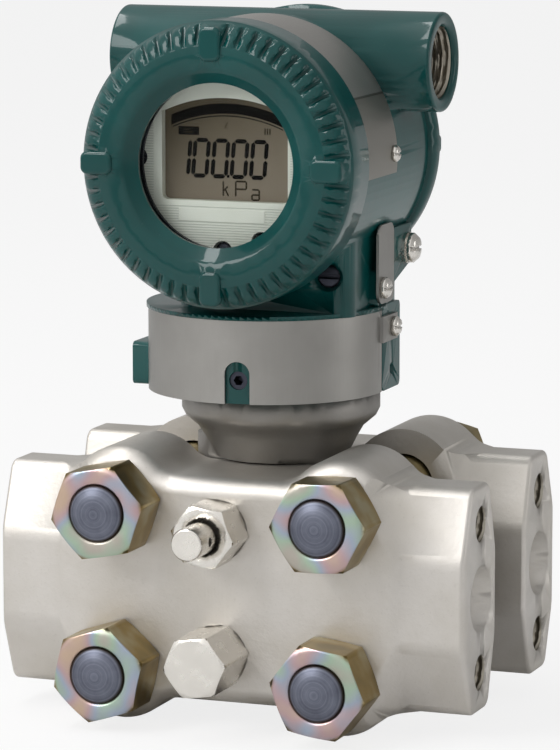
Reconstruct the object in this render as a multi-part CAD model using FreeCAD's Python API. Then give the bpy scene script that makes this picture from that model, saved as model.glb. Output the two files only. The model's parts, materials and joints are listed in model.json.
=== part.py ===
"""Differential pressure transmitter: capsule between two cover flanges, turning amplifier housing.

Frame: millimetres, X along the cover flanges (process ports at +X), Y to the back, Z up.
The origin is on the neck axis, level with the lowest point of the flange bosses.
"""
import FreeCAD, Part
import math
import os

V = FreeCAD.Vector
X_AXIS, Y_AXIS, Z_AXIS = V(1, 0, 0), V(0, 1, 0), V(0, 0, 1)
FRONT = V(0, -1, 0)

# ---- clearances ----
RUN_FIT = 0.05           # radial, a turning fit
CLEAR = 0.3              # between parts that move past each other
BREAK = 1.0              # how far a cutting tool runs past the metal
TOUCH = 0.01             # distance at which an edge counts as lying on a face
THREAD_FIT = 0.05        # radial, between a fastener and its hole

# ---- cover flanges (process interface) ----
PORT_PITCH = 54.0        # between the two process ports
PROCESS_BOLT_PITCH = 41.3
FLANGE_LENGTH = 136.2
FLANGE_HEIGHT = 63.0
FLANGE_FRONT = 44.5      # neck axis to the outer face of the middle plate
END_FRONT = 42.2         # neck axis to the outer face of an end boss
BOLT_PITCH_X = 64.0
BOLT_PITCH_Z = 45.2
BOLT_BOSS_R = 15.8
BOSS_BLEND_R = 9.0       # concave blend beside a bolt boss
CAST_R = 5.0             # rounding of the cast edges
TIP_R = 4.0              # rounding of an end boss's top and bottom
CREASE_R = 12.0          # between the facets of an end boss
END_EDGE_R = 1.2         # round the machined end face
END_FLAT_HALF = 12.0     # half height of the upright facet of an end boss
END_TIP_WIDTH = 15.0     # width of an end boss at its top and bottom
END_STEP_X = 50.5        # where the end boss begins
PROCESS_HOLE_R = 5.1     # 7/16 inch thread
PROCESS_HOLE_DEPTH = 20.0
PORT_SINK_R = 9.3
PORT_SINK_DEPTH = 5.0
PORT_THREAD_R = 5.9      # quarter inch pipe thread
PORT_THREAD_LENGTH = 14.0
PORT_PASSAGE_R = 2.5
PASSAGE_TURN_X = 10.0    # where the passage turns to the chamber
PASSAGE_END_X = 8.0
CHAMBER_R = 23.0
CHAMBER_DEPTH = 2.0
VENT_Z = 17.5            # vent and drain plugs, above and below the port axis
PLUG_X = -2.0            # their place along the flange
PLUG_SEAT_R = 8.6
PLUG_SEAT_DEPTH = 0.5
PLUG_THREAD_R = 6.0
PLUG_THREAD_LENGTH = 12.0
DRAIN_HOLE_R = 2.0

# ---- bolts through both flanges ----
BOLT_R = 8.0
BOLT_HOLE_R = 8.75
HEX_AF = 24.0
NUT_HEIGHT = 15.0
BOLT_HEAD_HEIGHT = 10.0
BOLT_PROUD = 1.6         # end dome beyond the nut
HEX_CHAMFER_R = 11.6
NUT_SINK_R = 8.7

# ---- capsule ----
CAPSULE_HALF = 13.0
CAPSULE_R = 29.5
GASKET_THICK = 0.5
GASKET_R = 28.0
GASKET_WIDTH = 3.5
DIAPHRAGM_R = 22.5
DIAPHRAGM_THICK = 0.25
DIAPHRAGM_WAVES = 5
NECK_BLOCK_LEFT = 23.0
NECK_BLOCK_RIGHT = 18.0
NECK_BLOCK_R = 9.0
NECK_BLOCK_FOOT = 26.5   # above the port axis
NECK_BLOCK_TOP = 36.0
NECK_RIM_R = 28.0
NECK_RIM_FOOT = 43.5
NECK_TOP = 52.2          # above the port axis
NECK_CONE_R = 19.0
NECK_CONE_FLARE = 2.5
NECK_RIM_CHAMFER = 4.5
SPIGOT_R = 20.0
SPIGOT_LENGTH = 14.0
NECK_BORE_R = 13.0
NECK_BORE_FOOT = 22.0
SENSOR_FLANGE_THICK = 3.0
SENSOR_CAN_R = 9.0
SENSOR_CAN_HEIGHT = 9.0
SENSOR_PIN_RING_R = 6.0
SENSOR_PIN_R = 0.5
SENSOR_PIN_LENGTH = 6.0
RING_SECTION_R = 0.9

# ---- vent and drain plugs ----
PLUG_AF = 16.0
PLUG_HEX_LENGTH = 13.0
VENT_NUB_R = 4.5
VENT_NUB_LENGTH = 11.0
VENT_BORE_R = 2.9
VENT_HOLE_R = 1.3
VENT_SEAT_R = 1.2
VENT_BORE_RUN = 6.0      # bore beyond the hexagon
VENT_CROSS_LIFT = 4.5    # cross hole above the hexagon's face
DRAIN_HEX_LENGTH = 19.0

# ---- amplifier housing ----
COVER_AXIS = 118.2       # above the port axis
BARREL_R = 38.0
BARREL_FRONT = -36.8
BARREL_WALL = 3.7
BARREL_BORE_R = BARREL_R - BARREL_WALL
PARTITION_Y = -14.0
PARTITION_THICK = 4.0
TUBE_AXIS = 143.5        # above the port axis
TUBE_Y = 1.9
TUBE_R = 13.8
TUBE_HALF = 47.1
BARREL_BACK = TUBE_Y + TUBE_R + CLEAR
ENTRY_R = 9.9            # half inch conduit thread
BLANKING_LENGTH = 14.0
ENTRY_MOUTH_R = 10.9
MOUTH_DEPTH = 1.2
ENTRY_DEPTH = 16.2       # mouth to the inner end of the thread
ENTRY_PASS_R = 8.0       # wire passage behind the thread
BASE_Y = -11.0
BASE_R = 32.2
BASE_BACK_R = 27.5       # back of the base, round the neck
BASE_FOOT = 52.5         # above the port axis
BASE_TOP = 75.5
PEDESTAL_INSET = 1.2     # inside the base's side
PEDESTAL_RIGHT = BASE_R - PEDESTAL_INSET
PEDESTAL_LEFT = 20.0
PEDESTAL_FRONT = -30.0
PEDESTAL_BACK = 12.0
PEDESTAL_R = 5.0
LUG_LEFT_LENGTH = 4.8
LUG_LEFT_FRONT, LUG_LEFT_BACK = -20.0, -5.0
LUG_LEFT_HEIGHT = 12.0
LUG_LEFT_X = -BASE_R - LUG_LEFT_LENGTH
SIDE_STEP = 1.0          # the right-hand pads stand proud of the base's side
SIDE_X = BASE_R + SIDE_STEP
CABLE_PASS_R = 6.0

# ---- covers ----
COVER_LIP = 1.0          # cover beyond the barrel
COVER_R = BARREL_R + COVER_LIP
COVER_DEPTH = 17.8
REAR_COVER_DEPTH = 12.6
COVER_GAP = 0.2          # cover to barrel end
COVER_SHOULDER = 8.6
COVER_FACE_R = COVER_R - COVER_SHOULDER
FUNNEL_R = 26.5
WINDOW_R = 22.3
FUNNEL_DEPTH = 4.0
LIP = 1.0
GLASS_R = 25.7
GLASS_THICK = 4.0
SPIGOT_WALL = 3.4
COVER_THREAD_LENGTH = 9.0
FLUTES = 56
FLUTE_R = 0.8
FLUTE_START = 2.8        # outside the flat face
FLUTE_RUN = 1.2          # how far a flute's cutter leaves the rim
LUG_WIDTH = 6.3
LUG_INNER_R = COVER_R - 10.7
LUG_OUTER_R = COVER_R - 1.4
LUG_PROUD = 0.8
LUG_R = 2.0
LUG_TOP_R = 1.0
REAR_FACE_THICK = 3.5
REAR_FACE_DISH = 1.0
SEAL_RIM = 2.0           # barrel metal left outside the seal
SEAL_SINK_R = BARREL_R - SEAL_RIM
SEAL_SINK_DEPTH = 2.2
SEAL_R = BARREL_BORE_R + 0.2
SEAL_SECTION_R = 0.85
SHOULDER_DROP = 4.6
LUG_HEIGHT = 8.0
THREAD_CLEAR = 0.4
RETAINER_THICK = 1.0

# ---- display ----
BEZEL_CLEAR = 1.0        # inside the cover's spigot
BEZEL_R = BARREL_BORE_R - THREAD_CLEAR - SPIGOT_WALL - BEZEL_CLEAR
BEZEL_THICK = 2.4
LCD_WIDTH = 36.4
LCD_HEIGHT = 28.0
LCD_Z = 3.7              # above the cover axis
LCD_ARCH = 4.0
LCD_CORNER_R = 1.5       # lower corners of the window
CASE_DEPTH = 7.0
CASE_WALL = 2.0
CASE_FLOOR = 1.2
CASE_SCREW_R = 1.2
BOARD_THICK = 1.6
BOARD_R = BEZEL_R - 0.5
BOARD_GAP_R = 8.0        # board rim to the pillars' ring
CPU_BOARD_Y = -22.0
LCD_THICK = 2.6
BEZEL_HOLE_R = 2.8
BEZEL_HOLE_PLACES = [(177.735, 4.180), (268.560, 5.592), (296.565, 6.021)]   # (turn, inset from the rim)
PILLAR_R = BOARD_R - BOARD_GAP_R
PILLAR_AF = 5.0
PILLAR_X = PILLAR_R * math.cos(math.radians(30))   # the two lower pillars
CHIPS = [(-10.0, 6.0, 12.0, 12.0, 1.6), (9.0, 9.0, 9.0, 6.0, 1.4), (PILLAR_X - 10.187, -8.0, 14.0, 7.0, 2.4),
         (8.187 - PILLAR_X, -12.0, 7.0, 9.0, 5.0)]
TERMINAL_R = 1.7
TERMINAL_COUNT = 5
TERMINAL_HALF = BARREL_BORE_R - 12.3
TERMINAL_MARGIN = 3.25   # end wall to the block's end
TERMINAL_RISE = 8.0      # block's top above the cover axis
TERMINAL_DROP = 7.0      # screws below the cover axis
TERMINAL_BLOCK_THICK = 7.0
TERMINAL_WALL_HEIGHT = 4.0
TERMINAL_WALL_HALF = 0.8
TERMINAL_BLOCK_R = 4.0
TERMINAL_PITCH = 2 * (TERMINAL_HALF - TERMINAL_MARGIN) / TERMINAL_COUNT
TERMINAL_HEAD_GAP = 0.15 # screw head to the wall beside it

# ---- plates ----
PLATE_THICK = 0.6
NAME_PLATE_FRONT = -36.2
NAME_PLATE_BACK = -12.4
NAME_PLATE_LEFT = -48.0  # degrees from the top, as seen from the front
NAME_PLATE_RIGHT = 96.0
BAND_THICK = 1.0

# ---- turns of the hexagons, degrees ----
NUT_TURNS = [18.0, 11.0, 52.0, 2.0]
HEAD_TURNS = [18.0, 5.0, 30.0, 12.0]
BOLT_DOME = 2.2
VENT_TURN = 52.0
DRAIN_TURN = 8.0
PLUG_FACE_R = 7.6

# ---- neck details ----
NECK_FOOT_R = 6.0
SEAL_GROOVE_R = 17.6
SEAL_GROOVE_WIDTH = 2.6
NECK_RING_LIFT = 8.0     # above the neck rim
SENSOR_PINS = 8
NECK_SCREW_R = 2.5
NECK_SCREW_X = 3.5
NECK_SCREW_LIFT = 6.4    # above the base's foot
NOTCH_R = 3.5

# ---- pads, lugs and small screws of the housing ----
BASE_LEDGE = 1.2
FOOT_FRONT = -9.0
FOOT_BACK = 6.0
LUG_DEPTH = 14.0
SMALL_SCREW_R = 1.5
WASHER_THICK = 0.9
TAG_THICK = 0.8
TAG_FRONT = -14.3
TAG_BACK = -1.6
TAG_DROP = 0.412         # tag's top below the barrel's flank
TAG_FOOT = 4.4           # below its screw
TAG_R = 3.0
TAG_PAD_HALF = 5.0
TAG_SCREW_Y = -10.6
TAG_SCREW_LIFT = 81.8    # above the port axis
BAND_SCREW_Y = -2.0
BAND_SCREW_LIFT = 70.0
BAND_END_Y = FOOT_FRONT - CLEAR
GROUND_SCREW_R = 2.0
GROUND_Y = 11.2
GROUND_DROP = 9.212      # below the barrel's flank
GROUND_LUG_FRONT = -4.0
GROUND_LUG_RISE = 6.5
GROUND_LUG_FALL = 4.0
GROUND_LUG_SLANT = 6.0
GROUND_WASHER_R = 4.4
GROUND_WASHER_SPLIT = 0.8
SIDE_THREAD_R = 1.65
SIDE_THREAD_DEPTH = 8.0
SIDE_THREAD_Y = -1.0
SIDE_THREAD_LIFT = 58.0
ZERO_R = 3.2
ZERO_INSET = 6.4         # from the pedestal's side
ZERO_X = PEDESTAL_RIGHT - ZERO_INSET
ZERO_DROP = 2.437        # below the barrel's underside at the screw
ZERO_SINK_R = 4.2
ZERO_SINK_DEPTH = 1.2
ZERO_SET_BACK = 0.6
ZERO_LENGTH = 9.0
ZERO_EDGE = 0.6
ZERO_SLOT = 1.0
ZERO_SLOT_DEPTH = 1.2
CABLE_PASS_Y = -22.0
NAME_SCREW_TURNS = [-44.0, 88.0]
NAME_SCREW_Y = -15.0
PAD_R = 1.5              # rounding of the pads and lugs
TUBE_EDGE_R = 0.8
SMALL_HOLE_DEPTH = 6.0
GROUND_HOLE_DEPTH = 8.0
NAME_HOLE_DEPTH = 3.2
ZERO_HOLE_DEPTH = 12.0
CABLE_PASS_LENGTH = 30.0
BAND_TAB_HALF = 3.6
BAND_TAB_BACK = 3.2      # behind the band's screw
NOTCH_RISE = 1.8         # middle of the notch's arch above the set screw
# screw heads: radius, height, slot width
NAME_HEAD = (2.3, 1.6, 0.6)
TAG_HEAD = (3.0, 2.2, 0.8)
BAND_HEAD = (2.8, 2.0, 0.8)
GROUND_HEAD = (4.2, 3.0, 1.0)
TERMINAL_HEAD = (TERMINAL_PITCH / 2 - TERMINAL_WALL_HALF - TERMINAL_HEAD_GAP, 2.0, 0.7)
BEZEL_HEAD = (2.5, 1.4, 0.5)
BEZEL_SHANK_R = 1.15
TERMINAL_SHANK = 5.0
SOCKET_AF = 10.0         # hexagon socket of the blanking plug
SOCKET_DEPTH = 8.0
PLUG_SET_BACK = 1.5      # blanking plug behind the tube's end
PLUG_EDGE = 0.8
SET_SCREW_BACK = 0.6
SET_SCREW_AF = 2.5
SET_SCREW_DEPTH = 3.0

# ---- worked out ----
PORT_Z = BOLT_PITCH_Z / 2 + BOLT_BOSS_R
PORT_Y = PORT_PITCH / 2
COVER_Z = PORT_Z + COVER_AXIS
TUBE_Z = PORT_Z + TUBE_AXIS
HALF_LENGTH = FLANGE_LENGTH / 2
HALF_HEIGHT = FLANGE_HEIGHT / 2
FLANGE_BACK = CAPSULE_HALF + GASKET_THICK
NECK_TOP_Z = PORT_Z + NECK_TOP
BASE_Z = PORT_Z + BASE_FOOT
BASE_TOP_Z = PORT_Z + BASE_TOP
GLASS_SEAT_Y = BARREL_FRONT - COVER_GAP - COVER_DEPTH + FUNNEL_DEPTH + LIP
POCKET_DEPTH = GLASS_THICK + RETAINER_THICK + 0.6
BEZEL_FACE = GLASS_SEAT_Y + POCKET_DEPTH + CLEAR + 0.1
NECK_RING_Z = NECK_TOP_Z + NECK_RING_LIFT
NECK_SCREW_Z = BASE_Z + NECK_SCREW_LIFT
TAG_SCREW_Z = PORT_Z + TAG_SCREW_LIFT
BAND_SCREW_Z = PORT_Z + BAND_SCREW_LIFT
FLANK_Z = COVER_Z - math.sqrt(max(BARREL_R ** 2 - SIDE_X ** 2, 0.0))   # barrel level at the pads' face
TAG_TOP_Z = FLANK_Z - TAG_DROP
GROUND_Z = FLANK_Z - GROUND_DROP
SIDE_THREAD_Z = PORT_Z + SIDE_THREAD_LIFT
ZERO_Z = COVER_Z - math.sqrt(BARREL_R ** 2 - ZERO_X ** 2) - ZERO_DROP
BEZEL_HOLES = [((BEZEL_R - inset) * math.cos(math.radians(turn)),
                (BEZEL_R - inset) * math.sin(math.radians(turn))) for turn, inset in BEZEL_HOLE_PLACES]
TERMINAL_WALLS = [(i - TERMINAL_COUNT / 2) * TERMINAL_PITCH for i in range(TERMINAL_COUNT + 1)]
TERMINALS = [((i - (TERMINAL_COUNT - 1) / 2) * TERMINAL_PITCH, COVER_Z - TERMINAL_DROP)
             for i in range(TERMINAL_COUNT)]
BOLT_PLACES = [(x, PORT_Z + z) for x in (-BOLT_PITCH_X / 2, BOLT_PITCH_X / 2)
               for z in (-BOLT_PITCH_Z / 2, BOLT_PITCH_Z / 2)]

os.makedirs("parts", exist_ok=True)


# ---------------------------------------------------------------- helpers

def rod(radius, length, start, direction):
    return Part.makeCylinder(radius, length, V(*start), direction)


def pipe(outer, inner, length, start, direction):
    return rod(outer, length, start, direction).cut(rod(inner, length, start, direction))


def block(x0, x1, y0, y1, z0, z1):
    return Part.makeBox(x1 - x0, y1 - y0, z1 - z0, V(x0, y0, z0))


def rounded_block(x0, x1, y0, y1, z0, z1, radius, direction=Z_AXIS):
    """A box whose four edges along the given direction are rounded."""
    box = block(x0, x1, y0, y1, z0, z1)
    edges = [e for e in box.Edges if along(e, direction)]
    return box.makeFillet(radius, edges)


def along(edge, direction):
    if edge.Curve.TypeId != "Part::GeomLine":
        return False
    return abs(edge.Curve.Direction.dot(direction)) > 0.999


def fuse(shapes):
    result = shapes[0].fuse(shapes[1:]) if len(shapes) > 1 else shapes[0]
    return result.removeSplitter()


def turned(points, centre, axis):
    """Solid of revolution: points are (radius, place along the axis) of a closed outline."""
    side = X_AXIS if abs(axis.dot(X_AXIS)) < 0.5 else Y_AXIS
    base = V(*centre)
    wire = Part.makePolygon([base + side * r + axis * h for r, h in points + points[:1]])
    return Part.Face(wire).revolve(base, axis, 360)


def hexagon(across_flats, length, start, direction, turn=0.0):
    """Hexagonal prism; turn is the angle of its first corner about the direction."""
    radius = across_flats / math.sqrt(3)
    side = X_AXIS if abs(direction.dot(X_AXIS)) < 0.5 else Y_AXIS
    other = direction.cross(side)
    base = V(*start)
    corners = []
    for i in range(7):
        a = math.radians(turn + 60 * i)
        corners.append(base + side * (radius * math.cos(a)) + other * (radius * math.sin(a)))
    return Part.Face(Part.makePolygon(corners)).extrude(direction * length)


def chamfered_hexagon(across_flats, length, start, direction, turn, face_r, both=False):
    """Hexagon whose corners are turned down to face_r at its far end, or at both ends."""
    body = hexagon(across_flats, length, start, direction, turn)
    corner = across_flats / math.sqrt(3) + 0.2
    drop = (corner - face_r) * math.tan(math.radians(30))
    low = [(face_r, 0), (corner, drop)] if both else [(corner, 0)]
    outline = [(0, 0)] + low + [(corner, length - drop), (face_r, length), (0, length)]
    return body.common(turned(outline, start, direction))


def ring(radius, section, centre, axis):
    return Part.makeTorus(radius, section, V(*centre), axis)


def pan_screw(start, direction, head, shank_r, shank_l):
    """Pan-head screw with a slot: start is the middle of the head's seat."""
    head_r, head_h, slot = head
    base = V(*start)
    dome = turned([(0, 0), (head_r, 0), (head_r, head_h * 0.45), (head_r * 0.72, head_h * 0.9),
                   (head_r * 0.35, head_h), (0, head_h)], start, direction)
    side = Y_AXIS if abs(direction.dot(Y_AXIS)) < 0.5 else X_AXIS
    cross = direction.cross(side)
    corner = base + direction * (head_h * 0.55) - side * head_r - cross * (slot / 2)
    cut = Part.Face(Part.makePolygon([corner, corner + side * 2 * head_r,
                                      corner + side * 2 * head_r + cross * slot,
                                      corner + cross * slot, corner])).extrude(direction * head_h)
    shank = Part.makeCylinder(shank_r, shank_l, base, direction * -1)
    return fuse([dome.cut(cut), shank])


def mirrored(shape):
    """The same piece on the back side."""
    return shape.mirror(V(0, 0, 0), Y_AXIS)


def save(name, shapes):
    solids = []
    for shape in shapes:
        solids += shape.Solids
    out = solids[0] if len(solids) == 1 else Part.makeCompound(solids)
    out.exportStep(f"parts/{name}.step")
    print(name, len(solids), round(out.Volume, 1), all(s.isValid() for s in solids))


# ---------------------------------------------------------------- cover flanges

def flange_outline():
    """Front outline: a long plate with a round boss at each bolt, blended by concave arcs."""
    y = -FLANGE_FRONT
    plate = Part.Face(Part.makePolygon([V(x, y, PORT_Z + z) for x, z in (
        (-HALF_LENGTH, -HALF_HEIGHT), (HALF_LENGTH, -HALF_HEIGHT), (HALF_LENGTH, HALF_HEIGHT),
        (-HALF_LENGTH, HALF_HEIGHT), (-HALF_LENGTH, -HALF_HEIGHT))]))
    discs = [Part.Face(Part.Wire(Part.makeCircle(BOLT_BOSS_R, V(x, y, z), FRONT))) for x, z in BOLT_PLACES]
    face = plate.fuse(discs).removeSplitter().Faces[0]
    return face.makeOffset2D(BOSS_BLEND_R).makeOffset2D(-BOSS_BLEND_R)


def end_cut(sign, outer):
    """Metal taken off one end, on its outer or inner side, leaving three flat facets."""
    if outer:
        face_y, tip_y, far = -END_FRONT, -PORT_Y - END_TIP_WIDTH / 2, -FLANGE_FRONT - 12
    else:
        face_y, tip_y, far = -FLANGE_BACK, -PORT_Y + END_TIP_WIDTH / 2, -FLANGE_BACK + 14
    run = abs(far - face_y)
    outline = [(END_STEP_X, face_y), (HALF_LENGTH + 5, face_y), (HALF_LENGTH + 5, far),
               (END_STEP_X - run, far)]
    lean = (tip_y - face_y) / (HALF_HEIGHT - END_FLAT_HALF)
    rise = BOLT_BOSS_R + HALF_HEIGHT
    steps = [(END_FLAT_HALF, V(0, lean * rise, rise)), (-END_FLAT_HALF, V(0, lean * rise, -rise))]
    if outer:
        steps.append((-END_FLAT_HALF, V(0, 0, 2 * END_FLAT_HALF)))
    tools = []
    for z0, step in steps:
        points = [V(sign * x, y, PORT_Z + z0) for x, y in outline]
        tools.append(Part.Face(Part.makePolygon(points + points[:1])).extrude(step))
    return tools


def end_edges(body, height, beyond):
    """Edges along an end boss at a height above and below the port axis."""
    return [e for e in body.Edges
            if along(e, X_AXIS) and abs(e.CenterOfMass.x) > beyond
            and abs(abs(e.CenterOfMass.z - PORT_Z) - height) < TOUCH]


def cover_flange():
    """Cast flange with its ports at +X, vent and drain holes in front, pressure chamber behind."""
    body = flange_outline().extrude(V(0, FLANGE_FRONT - FLANGE_BACK, 0))
    front_edges = [e for e in body.Edges if abs(e.BoundBox.YMax + FLANGE_FRONT) < TOUCH]
    body = body.makeFillet(CAST_R, front_edges)
    for sign in (-1, 1):
        for outer in (True, False):
            body = body.cut(end_cut(sign, outer))
    body = body.makeFillet(TIP_R, end_edges(body, HALF_HEIGHT, END_STEP_X))
    body = body.makeFillet(CREASE_R, end_edges(body, END_FLAT_HALF, END_STEP_X - 2 * BREAK))
    rims = [e for e in body.Edges
            if abs(abs(e.CenterOfMass.x) - HALF_LENGTH) < TOUCH and e.BoundBox.XLength < TOUCH]
    body = body.makeFillet(END_EDGE_R, rims)
    cuts = [rod(BOLT_HOLE_R, FLANGE_FRONT, (x, -FLANGE_FRONT - BREAK, z), Y_AXIS) for x, z in BOLT_PLACES]
    start = (HALF_LENGTH, -PORT_Y, PORT_Z)
    depth = PORT_SINK_DEPTH + PORT_THREAD_LENGTH
    cuts.append(rod(PORT_SINK_R, PORT_SINK_DEPTH, start, X_AXIS * -1))
    cuts.append(rod(PORT_THREAD_R, depth, start, X_AXIS * -1))
    cuts.append(rod(PORT_PASSAGE_R, HALF_LENGTH - PASSAGE_END_X, start, X_AXIS * -1))
    cuts.append(rod(PORT_PASSAGE_R, PORT_Y, (PASSAGE_TURN_X, -PORT_Y, PORT_Z), Y_AXIS))
    for z in (-PROCESS_BOLT_PITCH / 2, PROCESS_BOLT_PITCH / 2):
        cuts.append(rod(PROCESS_HOLE_R, PROCESS_HOLE_DEPTH, (HALF_LENGTH, -PORT_Y, PORT_Z + z), X_AXIS * -1))
    cuts.append(rod(CHAMBER_R, CHAMBER_DEPTH, (0, -FLANGE_BACK, PORT_Z), FRONT))
    for z in (PORT_Z - VENT_Z, PORT_Z + VENT_Z):
        mouth = (PLUG_X, -FLANGE_FRONT, z)
        cuts.append(rod(PLUG_SEAT_R, PLUG_SEAT_DEPTH, mouth, Y_AXIS))
        cuts.append(rod(PLUG_THREAD_R, PLUG_THREAD_LENGTH + PLUG_SEAT_DEPTH, mouth, Y_AXIS))
        cuts.append(rod(DRAIN_HOLE_R, FLANGE_FRONT - FLANGE_BACK, mouth, Y_AXIS))
    return body.cut(cuts)




def bolts():
    """Hexagon bolts from the back, with a domed end in front of each nut."""
    pieces = []
    end_y = -FLANGE_FRONT - NUT_HEIGHT - BOLT_PROUD
    for i, (x, z) in enumerate(BOLT_PLACES):
        head = chamfered_hexagon(HEX_AF, BOLT_HEAD_HEIGHT, (x, FLANGE_FRONT, z), Y_AXIS,
                                 HEAD_TURNS[i], HEX_CHAMFER_R)
        shank = rod(BOLT_R, FLANGE_FRONT - end_y - BOLT_DOME, (x, end_y + BOLT_DOME, z), Y_AXIS)
        dome = turned([(0, 0), (BOLT_R * 0.55, BOLT_DOME * 0.2), (BOLT_R * 0.85, BOLT_DOME * 0.6),
                       (BOLT_R, BOLT_DOME), (0, BOLT_DOME)], (x, end_y, z), Y_AXIS)
        pieces.append(fuse([head, shank, dome]))
    return pieces


def nuts():
    pieces = []
    for i, (x, z) in enumerate(BOLT_PLACES):
        seat = (x, -FLANGE_FRONT, z)
        body = chamfered_hexagon(HEX_AF, NUT_HEIGHT, seat, FRONT, NUT_TURNS[i], HEX_CHAMFER_R, both=True)
        bore_r = BOLT_R + THREAD_FIT
        sink = NUT_SINK_R - bore_r
        bore = turned([(0, -1), (bore_r, -1), (bore_r, NUT_HEIGHT - sink), (NUT_SINK_R, NUT_HEIGHT),
                       (NUT_SINK_R, NUT_HEIGHT + 1), (0, NUT_HEIGHT + 1)], seat, FRONT)
        pieces.append(body.cut(bore))
    return pieces


# ---------------------------------------------------------------- capsule

def capsule_body():
    """Disc between the flanges, with the cast neck above it and the turning spigot on top."""
    disc = rod(CAPSULE_R, 2 * CAPSULE_HALF, (0, -CAPSULE_HALF, PORT_Z), Y_AXIS)
    neck = rounded_block(-NECK_BLOCK_LEFT, NECK_BLOCK_RIGHT, -CAPSULE_HALF, CAPSULE_HALF,
                         PORT_Z + NECK_BLOCK_FOOT, PORT_Z + NECK_BLOCK_TOP + 2, NECK_BLOCK_R)
    foot = [e for e in neck.Edges if abs(e.BoundBox.ZMax - PORT_Z - NECK_BLOCK_FOOT) < TOUCH]
    neck = neck.makeFillet(NECK_FOOT_R, foot)
    rim_r, cone_foot = NECK_RIM_R, PORT_Z + NECK_BLOCK_TOP
    rim_foot, top = PORT_Z + NECK_RIM_FOOT, NECK_TOP_Z
    rim = turned([(0, cone_foot - 4), (NECK_CONE_R, cone_foot - 4),
                  (NECK_CONE_R + NECK_CONE_FLARE, cone_foot + 1), (rim_r - NECK_RIM_CHAMFER, rim_foot - 3),
                  (rim_r - 1.0, rim_foot), (rim_r, rim_foot + 2), (rim_r, top), (0, top)], (0, 0, 0), Z_AXIS)
    spigot = rod(SPIGOT_R, SPIGOT_LENGTH, (0, 0, top), Z_AXIS)
    groove = pipe(SPIGOT_R + BREAK, SEAL_GROOVE_R, SEAL_GROOVE_WIDTH,
                  (0, 0, NECK_RING_Z - SEAL_GROOVE_WIDTH / 2), Z_AXIS)
    bore_length = NECK_TOP + SPIGOT_LENGTH - NECK_BORE_FOOT
    bore = rod(NECK_BORE_R, bore_length, (0, 0, PORT_Z + NECK_BORE_FOOT), Z_AXIS)
    web = block(-NECK_CONE_R, NECK_CONE_R, -CAPSULE_HALF, CAPSULE_HALF, PORT_Z + CAPSULE_R - 8,
                PORT_Z + NECK_BLOCK_FOOT + 3)
    body = fuse([disc, web, neck, rim, spigot])
    return body.cut([groove, bore])


def capsule_gasket():
    return pipe(GASKET_R, GASKET_R - GASKET_WIDTH, GASKET_THICK, (0, -CAPSULE_HALF, PORT_Z), FRONT)


def diaphragm():
    """Thin disc pressed into rings of waves, welded on the capsule's face."""
    outer, inner, t = [], [], DIAPHRAGM_THICK
    steps = DIAPHRAGM_WAVES * 2
    for i in range(steps + 1):
        r = DIAPHRAGM_R * i / steps
        lift = GASKET_THICK * 0.4 if i % 2 else 0.0
        inner.append((r, lift))
        outer.append((r, lift + t))
    return turned(inner + outer[::-1], (0, -CAPSULE_HALF, PORT_Z), FRONT)


def pressure_sensor():
    """Sensor can on its flange, with a ring of pins up to the housing."""
    floor = PORT_Z + NECK_BORE_FOOT
    rim_r, thick = NECK_BORE_R - CLEAR, SENSOR_FLANGE_THICK
    can = turned([(0, 0), (rim_r, 0), (rim_r, thick), (SENSOR_CAN_R, thick),
                  (SENSOR_CAN_R, SENSOR_CAN_HEIGHT), (0, SENSOR_CAN_HEIGHT)], (0, 0, floor), Z_AXIS)
    pins = []
    for i in range(SENSOR_PINS):
        a = 2 * math.pi * i / SENSOR_PINS
        foot = (SENSOR_PIN_RING_R * math.cos(a), SENSOR_PIN_RING_R * math.sin(a),
                floor + SENSOR_CAN_HEIGHT - BREAK)
        pins.append(rod(SENSOR_PIN_R, SENSOR_PIN_LENGTH, foot, Z_AXIS))
    return fuse([can] + pins)


# ---------------------------------------------------------------- vent and drain plugs

def plug_shank(z):
    seat = -FLANGE_FRONT + PLUG_SEAT_DEPTH
    return rod(PLUG_THREAD_R - THREAD_FIT, PLUG_THREAD_LENGTH - CLEAR, (PLUG_X, seat, z), Y_AXIS)


def vent_body():
    """Hexagon body of the vent, bored for the vent screw."""
    z, seat = PORT_Z + VENT_Z, -FLANGE_FRONT + PLUG_SEAT_DEPTH
    hexagon_part = chamfered_hexagon(PLUG_AF, PLUG_HEX_LENGTH, (PLUG_X, seat, z), FRONT, VENT_TURN,
                                     PLUG_FACE_R, both=True)
    body = fuse([hexagon_part, plug_shank(z)])
    bore = rod(VENT_BORE_R, PLUG_HEX_LENGTH + VENT_BORE_RUN, (PLUG_X, seat - PLUG_HEX_LENGTH, z),
               Y_AXIS)
    seat_hole = rod(VENT_SEAT_R, PLUG_HEX_LENGTH + PLUG_THREAD_LENGTH + 2 * BREAK,
                    (PLUG_X, seat - PLUG_HEX_LENGTH, z), Y_AXIS)
    return body.cut([bore, seat_hole])


def vent_screw():
    """Vent screw: a round knob with a cross hole in front of the body, a needle inside."""
    z, face = PORT_Z + VENT_Z, -FLANGE_FRONT + PLUG_SEAT_DEPTH - PLUG_HEX_LENGTH
    shank_r = VENT_BORE_R - RUN_FIT
    shape = turned([(0, -5.6), (0.9, -5.0), (shank_r, -3), (shank_r, CLEAR), (VENT_NUB_R - 0.4, CLEAR),
                    (VENT_NUB_R, CLEAR + 0.4), (VENT_NUB_R, VENT_NUB_LENGTH - 0.5),
                    (VENT_NUB_R - 0.5, VENT_NUB_LENGTH), (0, VENT_NUB_LENGTH)], (PLUG_X, face, z), FRONT)
    half = VENT_NUB_R + BREAK
    cross = rod(VENT_HOLE_R, 2 * half, (PLUG_X - half, face - VENT_CROSS_LIFT, z), X_AXIS)
    return shape.cut(cross)


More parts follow.
